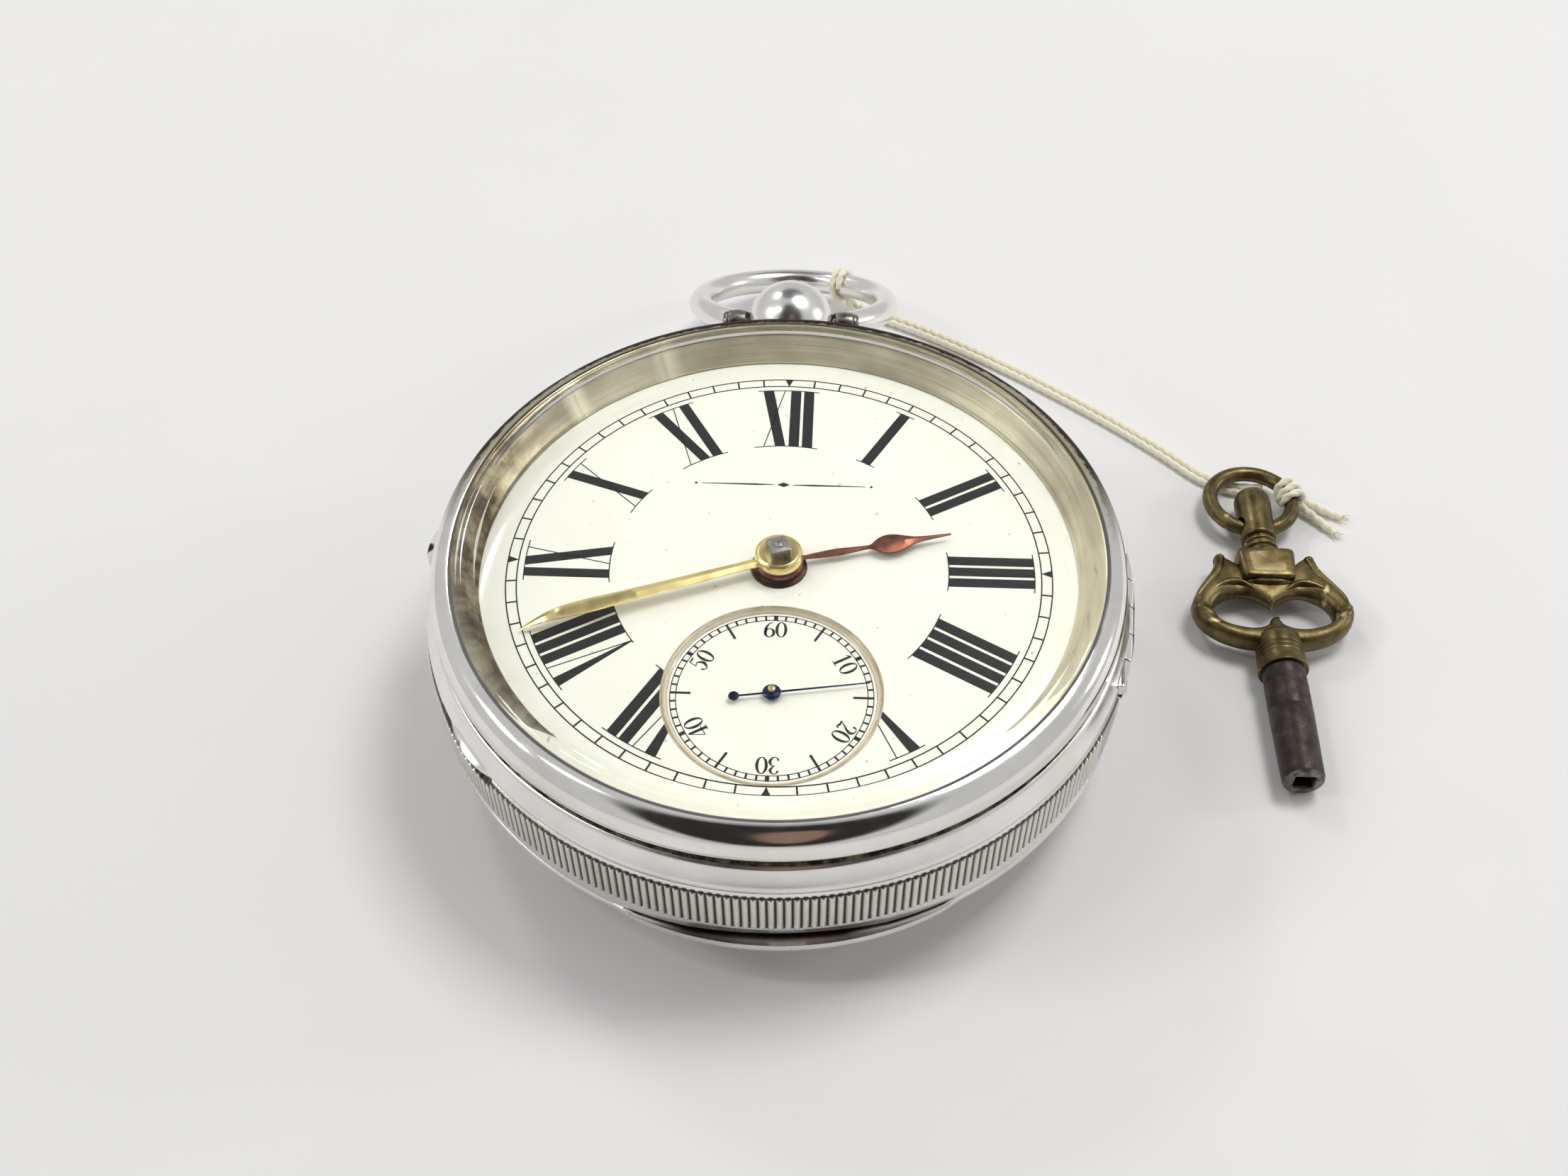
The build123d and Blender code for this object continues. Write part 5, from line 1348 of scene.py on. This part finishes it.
def numeral(shape, hour, letters, z):
    """A Roman numeral, upright from the centre: thick strokes lean left, hairlines lean right."""
    clock = hour * 30
    total = sum(LETTER_WIDTHS[c] for c in letters) + STEM_GAP * (len(letters) - 1)
    x = -total / 2
    for c in letters:
        if c == "I":
            stroke(shape, clock, x + STEM / 2, x + STEM / 2, STEM, STEM, z)
        elif c == "X":
            stroke(shape, clock, x + 1.64, x + 0.43, STEM, STEM + 0.03, z)
            stroke(shape, clock, x + 0.33, x + 1.80, HAIR, HAIR, z)
        else:
            stroke(shape, clock, x + 1.34, x + 0.43, 0.12, STEM + 0.03, z)
            stroke(shape, clock, x + 1.34, x + 1.86, HAIR, HAIR, z)
        x += LETTER_WIDTHS[c] + STEM_GAP
    over = 0.42  # how far a serif reaches past the strokes, except beside a V's open foot
    serif(shape, clock, NUMERAL_TOP, -total / 2 - over, total / 2 + over, z)
    foot_left = -total / 2 - (over if letters[0] != "V" else -1.1)
    foot_right = total / 2 + (over if letters[-1] != "V" else -0.3)
    serif(shape, clock, NUMERAL_FOOT, foot_left, foot_right, z)


def hairline_ring(shape, radius, width, centre_y, z, steps=360):
    """A printed circle."""
    inner, outer, low, high = radius - width / 2, radius + width / 2, z - INK_SUNK, z + INK_T
    ring = turned([(inner, low), (outer, low), (outer, high), (inner, high)], steps)
    shape.add_shape(ring, spot(0, centre_y, 0))


def tick(shape, clock, inner, outer, width, centre_y, z):
    """A printed line outward from a dial's centre."""
    u, v = polar(clock, inner)[:2], polar(clock, outer)[:2]
    across = polar(clock + 90, width / 2)[:2]
    middle = np.array([0, centre_y])
    corners = [u - across, v - across, v + across, u + across]
    printed(shape, [c + middle for c in corners], z, -0.002)


def make_dial_marks():
    """The numerals, the minute track with its four arrows, and the ornament."""
    shape, z = Shape(), DIAL_Z
    for hour, letters in NUMERALS.items():
        numeral(shape, hour, letters, z)
    inner = TRACK_R * 0.961
    hairline_ring(shape, TRACK_R, 0.10, 0, z)
    hairline_ring(shape, inner, 0.10, 0, z)
    for minute in range(60):
        clock = minute * 6
        if minute % 15:
            tick(shape, clock, inner, TRACK_R, 0.14, 0, z)
        else:
            tip, left, right = polar(clock, inner), polar(clock - 0.95, TRACK_R), polar(clock + 0.95,
                                                                                        TRACK_R)
            printed(shape, (tip, left, right), z, 0.002)
    ornament(shape, z)
    piece("dial_marks", shape, [INK], "case")


def ornament(shape, z):
    """A plain ruled lozenge under the twelve."""
    y, start, thickest, end = 8.45, 0.75, 2.2, 6.4
    for side in (-1, 1):
        xs = np.linspace(start, end, 12)
        widths = np.interp(xs, [start, thickest, end], [0.05, 0.17, 0.05])
        drawn(shape, [(side * x, y) for x in xs], widths, z)
        turns = np.linspace(0, 5.8, 14)
        printed(shape, [(side * (end + 0.45) + 0.11 * math.cos(a), y + 0.11 * math.sin(a)) for a in turns],
                z)
    printed(shape, [(-0.5, y), (0, y + 0.24), (0.5, y), (0, y - 0.24)], z)


# Digits as pen strokes in a box one unit high: (points, widths), with thick sides and thin turns.
THICK, THIN = 0.15, 0.045


def oval(cx, cy, rx, ry):
    """A round stroke that is thick at its sides and thin above and below."""
    angles = np.radians(np.linspace(0, 360, 40))
    points = np.stack([cx + rx * np.cos(angles), cy + ry * np.sin(angles)], -1)
    widths = THIN + (THICK - THIN) * np.abs(np.cos(angles)) ** 1.6
    return points, widths


def pen(*stops):
    """A smooth stroke through (x, y, width) stops."""
    line = smooth_line(stops, 8)
    return line[:, :2], np.maximum(line[:, 2], 0.03)


DIGITS = {
    "0": [oval(0, 0.5, 0.23, 0.47)],
    "1": [
        pen((0, 0, THICK), (0, 0.5, THICK), (0, 0.99, THICK * 0.8)),
        pen((-0.2, 0.80, 0.04), (-0.08, 0.88, 0.05), (0.0, 0.98, 0.06)),
        pen((-0.2, 0.01, 0.04), (0, 0.01, 0.04), (0.2, 0.01, 0.04)),
    ],
    "2": [
        pen((-0.2, 0.74, 0.13), (-0.17, 0.90, 0.06), (0.02, 0.98, 0.05), (0.20, 0.80, 0.14),
            (0.10, 0.52, 0.11), (-0.12, 0.22, 0.05), (-0.22, 0.03, 0.045)),
        pen((-0.22, 0.05, 0.05), (-0.02, 0.09, 0.12), (0.16, 0.03, 0.09), (0.24, 0.16, 0.04)),
    ],
    "3": [
        pen((-0.2, 0.80, 0.12), (-0.1, 0.95, 0.05), (0.06, 0.97, 0.06), (0.18, 0.78, 0.14),
            (0.05, 0.57, 0.06), (-0.05, 0.53, 0.04)),
        pen((-0.05, 0.53, 0.04), (0.10, 0.50, 0.06), (0.21, 0.27, 0.16), (0.04, 0.02, 0.06),
            (-0.14, 0.06, 0.06), (-0.21, 0.2, 0.12)),
    ],
    "4": [
        pen((0.10, 0, THICK), (0.10, 0.5, THICK), (0.10, 0.98, 0.12)),
        pen((0.10, 0.98, 0.04), (-0.12, 0.58, 0.04), (-0.28, 0.27, 0.04)),
        pen((-0.28, 0.27, 0.045), (0, 0.27, 0.045), (0.27, 0.27, 0.045)),
        pen((-0.05, 0.01, 0.04), (0.1, 0.01, 0.04), (0.25, 0.01, 0.04)),
    ],
    "5": [
        pen((-0.15, 0.97, 0.04), (0.0, 0.93, 0.09), (0.17, 0.97, 0.06)),
        pen((-0.15, 0.98, 0.045), (-0.17, 0.75, 0.045), (-0.18, 0.53, 0.045)),
        pen((-0.18, 0.53, 0.04), (0.02, 0.62, 0.06), (0.20, 0.33, 0.16), (0.03, 0.02, 0.06),
            (-0.14, 0.07, 0.06), (-0.2, 0.2, 0.12)),
    ],
    "6": [
        oval(0.0, 0.29, 0.22, 0.27),
        pen((-0.21, 0.30, THICK), (-0.19, 0.58, 0.13), (-0.04, 0.86, 0.07), (0.14, 0.97, 0.045)),
    ],
}


def figure(shape, clock, text, radius, height, z):
    """A number with its top outward on the seconds dial."""
    advance, middle = 0.60 * height, np.array([0, SECONDS_Y])
    for n, digit in enumerate(text):
        offset = (n - (len(text) - 1) / 2) * advance
        for points, widths in DIGITS[digit]:
            local = [(offset + x * height, radius + (y - 0.5) * height) for x, y in points]
            drawn(shape, [on_clock(clock, *p) + middle for p in local], widths * height, z)


def make_seconds_marks():
    """The seconds track, with every fifth second long and every tenth numbered."""
    shape, z = Shape(), DIAL_Z - SUBDIAL_SUNK
    inner, outer = 6.80, 7.22
    for radius in (outer, inner):
        hairline_ring(shape, radius, 0.065, SECONDS_Y, z, 240)
    for second in range(60):
        clock = second * 6
        if second % 10 == 0:
            tick(shape, clock, inner, outer + 0.04, 0.30, SECONDS_Y, z + 0.004)
        elif second % 5 == 0:
            tick(shape, clock, 5.75, outer, 0.19, SECONDS_Y, z)
        else:
            tick(shape, clock, inner, outer, 0.15, SECONDS_Y, z)
    for second in (60, 10, 20, 30, 40, 50):
        figure(shape, second * 6, str(second), 5.95, 1.42, z)
    piece("seconds_marks", shape, [INK], "case")


# ---- hands ----------------------------------------------------------------------------------
def hand_matrix(clock, x=0.0, y=0.0):
    """Turns something drawn along +X so that it points at a clock angle."""
    return spot(x, y, 0, turn_about("Z", 90 - clock))


def blade(stations, z, ridge, thin, drop=None, steps=10):
    """A ridged blade along +X from (distance, half width) stations: its top is two facets."""
    rings = []
    for x, half in smooth_line(stations, steps):
        half = max(half, 0.03)
        low = z - (drop(x) if drop else 0)
        top = ridge * min(1, half / 0.35)
        rings.append([(x, half, low), (x, half * 0.94, low + thin), (x, 0, low + thin + top),
                      (x, -half * 0.94, low + thin), (x, -half, low)])
    return lofted(rings)


def make_minute_hand():
    """A slim gilt hand whose tip is bent down to the dial, on a turned boss."""
    def drop(x):
        return 0.85 * max(0.0, (x - 16.6) / 3.2) ** 1.8

    z = MINUTE_HAND_Z
    shape = blade([(1.2, 0.40), (4.0, 0.44), (8.0, 0.50), (12.0, 0.57), (14.6, 0.66), (16.2, 0.62),
                   (17.6, 0.44), (18.8, 0.22), (19.8, 0.06)], z, 0.115, 0.08, drop)
    boss = softened([(1.15, z), (1.78, z), (1.82, z + 0.42), (1.72, z + 0.66), (1.50, z + 0.80),
                     (1.34, z + 0.77), (0.70, z + 0.77), (0.70, z + 0.74), (1.15, z + 0.74)], 0.04)
    shape.add_shape(turned(boss, 96))
    piece("minute_hand_blade", shape.moved(hand_matrix(MINUTE_HAND_AT)), [GOLD], "minute_train",
          ["minute_hand"], 25)


def make_hour_hand():
    """A bronzed spade hand on a boss, with the end of its pipe below in painted shade."""
    z = HOUR_HAND_Z
    shape = blade([(1.3, 0.34), (1.9, 0.17), (3.0, 0.26), (4.4, 0.33), (5.6, 0.25), (6.7, 0.16),
                   (7.15, 0.24), (7.7, 0.68), (8.4, 0.93), (9.1, 0.86), (9.9, 0.55), (10.6, 0.30),
                   (11.6, 0.17), (12.6, 0.10), (13.3, 0.05)], z, 0.14, 0.12, steps=8)
    low = DIAL_Z + 0.04
    boss = softened([(1.55, z - 0.08), (1.78, z - 0.08), (1.84, z + 0.0), (1.84, z + 0.26), (1.74, z + 0.36),
                     (1.55, z + 0.36)], 0.05)
    shape.add_shape(turned(boss, 96))
    # the pipe's end below the boss, in painted shade
    skirt = softened([(1.52, low), (2.06, low), (2.06, low + 0.03), (1.84, low + 0.06), (1.70, low + 0.14),
                      (1.70, z - 0.02), (1.52, z - 0.02)], 0.03)
    shape.add_shape(turned(skirt, 96, kinds=1))
    piece("hour_hand_blade", shape.moved(hand_matrix(HOUR_HAND_AT)), [COPPER, COPPER_SHADED], "hour_train",
          ["hour_hand"], 25)


def make_seconds_hand():
    """A blued needle with a disc on its tail, and the pivot's gilt end in its boss."""
    z = SECONDS_HAND_Z
    shape = blade([(0.3, 0.075), (3.0, 0.062), (7.0, 0.035)], z, 0.05, 0.06)
    shape.add_shape(blade([(-2.5, 0.07), (-1.5, 0.065), (-0.3, 0.075)], z, 0.05, 0.06))
    disc = softened([(0, z), (0.38, z), (0.38, z + 0.10), (0, z + 0.12)], 0.04, closed=False)
    shape.add_shape(turned(disc, 40, closed=False), spot(-2.7, 0, 0))
    boss = softened([(0.24, z - 0.35), (0.44, z - 0.35), (0.46, z), (0.66, z), (0.66, z + 0.12),
                     (0.52, z + 0.22), (0.3, z + 0.24), (0.24, z + 0.2)], 0.04)
    shape.add_shape(turned(boss, 56))
    place = hand_matrix(SECONDS_HAND_AT, 0, SECONDS_Y)
    piece("seconds_hand_needle", shape.moved(place), [BLUED], "seconds_train",
          ["seconds_hand"], 25)
    pip = softened([(0, z + 0.1), (0.26, z + 0.1), (0.26, z + 0.54), (0.18, z + 0.62), (0, z + 0.63)], 0.03,
                   closed=False)
    pip = turned(pip, 32, closed=False).moved(spot(0, SECONDS_Y, 0))
    piece("seconds_pivot_pip", pip, [GOLD], "seconds_train")


def square_ring(half, z, count, most=2.0):
    """Points on a square, or on one whose corners are worn off at most times its half width."""
    ring = []
    for n in range(count):
        a = 2 * math.pi * (n + 0.5) / count
        reach = half * min(1 / max(abs(math.cos(a)), abs(math.sin(a))), most)
        ring.append((reach * math.cos(a), reach * math.sin(a), z))
    return ring


def make_setting_square():
    """The cannon pinion's end above the hands, with worn corners and a centre pip."""
    half = SQUARE / 2 + 0.05
    levels = ((1.0, 14.9), (1.0, 15.70), (0.98, 15.88), (0.92, 15.95), (0.82, 15.965))
    shape = lofted([square_ring(half * scale, z, 32, 1.30) for scale, z in levels])
    pip = softened([(0, 15.94), (0.36, 15.94), (0.33, 16.02), (0.16, 16.085), (0, 16.10)], 0.03,
                   closed=False)
    shape.add_shape(turned(pip, 32, closed=False))
    collar = softened([(0.7, 14.4), (1.13, 14.4), (1.13, 15.10), (1.06, 15.18), (0.7, 15.19)], 0.04)
    shape.add_shape(turned(collar, 64))
    piece("setting_square_end", shape.moved(turn_about("Z", SQUARE_TURN)), [POST_STEEL], "minute_train",
          sharp=28)


# ---- key ------------------------------------------------------------------------------------
def along_key():
    """Turns a shape made about Z so that its axis runs along +Y through the key."""
    return spot(KEY_X, 0, KEY_Z, turn_about("X", -90))


def make_key_pipe():
    """A browned steel pipe with a square hole, faintly ringed."""
    wall = [(PIPE_R - 0.10, 0.45), (PIPE_R - 0.08, -0.78), (PIPE_R - 0.13, -0.86), (PIPE_R - 0.13, -0.92),
            (PIPE_R - 0.05, -1.0), (PIPE_R - 0.02, -3.3), (PIPE_R - 0.055, -3.4), (PIPE_R - 0.055, -3.46),
            (PIPE_R, -3.56), (PIPE_R, -5.2), (PIPE_R, -7.0), (PIPE_R, -9.6), (PIPE_R - 0.06, -9.84),
            (PIPE_R - 0.22, -9.98), (PIPE_R - 0.40, -10.0)]
    count = 64
    phi = 2 * math.pi * (np.arange(count) + 0.5) / count
    rings = [[(r * math.cos(a), r * math.sin(a), y) for a in phi] for r, y in [(1.1, 0.5), *wall]]
    half = SQUARE / 2 + 0.05
    rings += [square_ring(half * scale, y, count) for scale, y in ((1.10, -9.99), (1.0, -9.86), (1.0, -8.0),
                                                                   (0.98, -6.2))]
    shape = lofted(rings)
    for points in shape.points:
        points[:, :2] *= (1 + 0.010 * (points[:, 2] + 5))[:, None]
    piece("key_barrel", shape.moved(along_key()), [KEY_STEEL], "key", ["key_pipe"], 38)


GRIP_OUTER = [  # right half of the grip's outer edge, from the top to the bottom
    (0.0, 11.4), (2.2, 11.6), (3.0, 12.15), (3.55, 12.5), (4.05, 12.25), (4.2, 11.6), (4.55, 10.6),
    (5.15, 9.6), (5.9, 8.6), (6.4, 7.6), (6.55, 6.7), (6.35, 5.7), (5.7, 4.7), (4.6, 3.85), (3.2, 3.25),
    (1.6, 2.95), (0.0, 2.9), ]
GRIP_INNER = [  # right half of its inner edge: two lobes that meet in a point above and one below
    (0.0, 7.05), (0.42, 7.50), (1.1, 8.00), (2.0, 8.30), (3.0, 8.25), (4.0, 7.85), (4.65, 7.15), (4.85, 6.4),
    (4.6, 5.6), (3.9, 5.0), (2.9, 4.7), (2.0, 4.6), (1.2, 4.72), (0.65, 5.05), (0.28, 5.4), (0.0, 5.6),
]


def make_key_grip():
    """The pierced grip: a pillowed band between its outer and inner edges, ribbed at its sides."""
    half, sides, rings = 90, 22, []
    edges = [evenly(smooth_line(edge, 10), half) for edge in (GRIP_OUTER, GRIP_INNER)]
    outer, inner = (np.concatenate([edge, edge[-2:0:-1] * (-1, 1)]) for edge in edges)
    for (ox, oy), (ix, iy) in zip(outer, inner):
        middle = np.array([(ox + ix) / 2, (oy + iy) / 2])
        reach = np.array([ox, oy]) - middle
        width = 2 * np.linalg.norm(reach)
        rib = (math.exp(-((oy - 7.05) / 0.15) ** 2) + math.exp(-((oy - 6.55) / 0.15) ** 2)) * (abs(ox) > 5)
        height = (0.98 - 0.10 * min(max(width - 2.0, 0), 2.5)) * (1 + 0.13 * rib)
        ring = []
        for k in range(sides):
            phi = 2 * math.pi * k / sides
            p = middle + reach * (1 + 0.07 * rib) * rounded(math.cos(phi), 0.8)
            ring.append((p[0], p[1], height * rounded(math.sin(phi), 0.75)))
        rings.append(ring)
    return lofted(rings, closed=True)


def rounded(value, power):
    """A sine or cosine, drawn toward 1 or -1."""
    return math.copysign(abs(value) ** power, value)


def pillow(cx, cy, cz, sx, sy, sz, power=0.22, rows=28, cols=56):
    """A block with full faces and rounded edges."""
    rings = []
    for i in range(rows + 1):
        v = -math.pi / 2 + math.pi * i / rows
        ring = []
        for j in range(cols):
            a = 2 * math.pi * (j + 0.5) / cols
            across = rounded(math.cos(v), power)
            x, y = across * rounded(math.cos(a), power), across * rounded(math.sin(a), power)
            ring.append((cx + sx / 2 * x, cy + sy / 2 * y, cz + sz / 2 * rounded(math.sin(v), power)))
        rings.append(ring)
    return Shape().add(rings, grid_faces(rows + 1, cols, False, True))


def make_key_handle():
    """The cast brass handle: grip, block, turned neck with the ring's eye, and ferrule."""
    flat = spot(KEY_X, 0, KEY_Z)
    shape = Shape().add_shape(make_key_grip(), flat)
    block = pillow(0, 11.05, 0.05, 4.6, 3.3, 2.95, 0.24)
    for points in block.points:
        points[:, 0] *= 1 + 0.035 * (points[:, 1] - 11.05)
    shape.add_shape(block, flat)
    shape.add_shape(pillow(0, 9.75, 0.0, 4.1, 1.6, 2.3, 0.6), flat)
    for side in (-1, 1):
        # a bead at the shoulder's tip, the raised edge below it, and the arch over each lobe
        shape.add_shape(pillow(side * 3.72, 12.05, 0.15, 1.0, 1.0, 1.5, 1.0, 12, 20), flat)
        edge = smooth_line([(side * 3.75, 12.0, 0.45), (side * 3.95, 11.1, 0.55), (side * 4.4, 10.2, 0.6),
                            (side * 5.1, 9.2, 0.62), (side * 5.8, 8.2, 0.62), (side * 6.1, 7.5, 0.55)], 10)
        width = np.interp(np.linspace(0, 1, len(edge)), [0, 0.5, 1], [0.40, 0.34, 0.22])
        shape.add_shape(swept(edge, width, 14), flat)
        arch = smooth_line([(side * 1.3, 8.75, 0.60), (side * 2.4, 9.35, 0.72), (side * 3.6, 9.2, 0.74),
                            (side * 4.7, 8.5, 0.70), (side * 5.3, 7.6, 0.62)], 10)
        width = np.interp(np.linspace(0, 1, len(arch)), [0, 0.4, 1], [0.18, 0.36, 0.16])
        shape.add_shape(swept(arch, width, 14), flat)
    # the points between the lobes, the lower one bent over at its tip
    thorn = smooth_line([(0, 4.0, 0.25), (0.0, 4.7, 0.35), (0.03, 5.4, 0.45), (0.26, 5.78, 0.50)], 8)
    width = np.interp(np.linspace(0, 1, len(thorn)), [0, 0.6, 1], [1.0, 0.48, 0.12])
    shape.add_shape(swept(thorn, width, 14), flat)
    # turned neck and head above the block, and the ferrule below the grip
    neck = softened([(0, 12.3), (1.5, 12.3), (1.45, 12.95), (1.20, 13.05), (1.20, 13.2), (1.42, 13.32),
                     (1.42, 13.58), (1.20, 13.70), (1.20, 13.86), (1.36, 13.96), (1.36, 14.16),
                     (1.12, 14.26), (1.12, 14.46), (1.44, 14.56), (1.5, 14.72), (1.5, 17.2), (1.55, 18.6),
                     (1.50, 19.2), (1.28, 19.72), (0.8, 19.97), (0, 20.0)], 0.06, closed=False)
    shape.add_shape(turned(neck, 96, closed=False), along_key())
    ferrule = softened([(0, 0.5), (1.96, 0.5), (2.01, 0.60), (1.96, 0.80), (1.93, 1.6), (1.89, 1.68),
                        (1.92, 1.78), (1.90, 2.05), (1.85, 2.12), (1.90, 2.22), (1.88, 2.5), (1.83, 2.57),
                        (1.88, 2.67), (1.86, 3.2), (1.78, 3.75), (1.45, 4.15), (0, 4.45)], 0.05,
                       closed=False)
    shape.add_shape(turned(ferrule, 96, closed=False), along_key())
    handle = piece("key_bow_handle", shape, [KEY_BRASS], "key", ["key_handle"], 42)
    carved(handle, [rod(0.95, -3, 3, 40).moved(spot(KEY_X, KEY_EYE_Y, KEY_Z, turn_about("Y", 90)))], 42)


def make_key_ring():
    """The plain brass ring through the key's eye, worn thin where the key hangs."""
    tilt = math.degrees(math.atan2(KEY_Z - KEY_RING_LIFT, 2 * KEY_RING_R))
    angles = np.linspace(0, 2 * math.pi, 160, endpoint=False)
    line = np.stack([KEY_RING_R * np.cos(angles), KEY_RING_R * np.sin(angles), 0 * angles], -1)
    worn = KEY_RING_TUBE * (1 - 0.10 * np.exp(-((angles - 1.5 * math.pi) / 0.5) ** 2))
    ring = swept(line, worn, 24, closed=True)
    place = spot(KEY_X, KEY_EYE_Y - 0.17, KEY_Z, turn_about("X", -tilt)) @ spot(0, KEY_RING_R, 0)
    piece("key_split_ring", ring.moved(place), [KEY_BRASS], "case", ["key_ring"], 60)


# ---- the scene ------------------------------------------------------------------------------
bpy.context.scene.view_settings.view_transform = "Standard"
make_camera()
make_room()
make_floor()
dress_cad_nodes()
make_hitch()
make_strands(make_knot())
make_tails()
make_bezel()
make_crystal()
make_case_band()
make_back_cover()
make_pendant()
make_bow()
make_bow_screws()
make_dial()
make_dial_marks()
make_seconds_marks()
make_minute_hand()
make_hour_hand()
make_seconds_hand()
make_setting_square()
make_key_pipe()
make_key_handle()
make_key_ring()
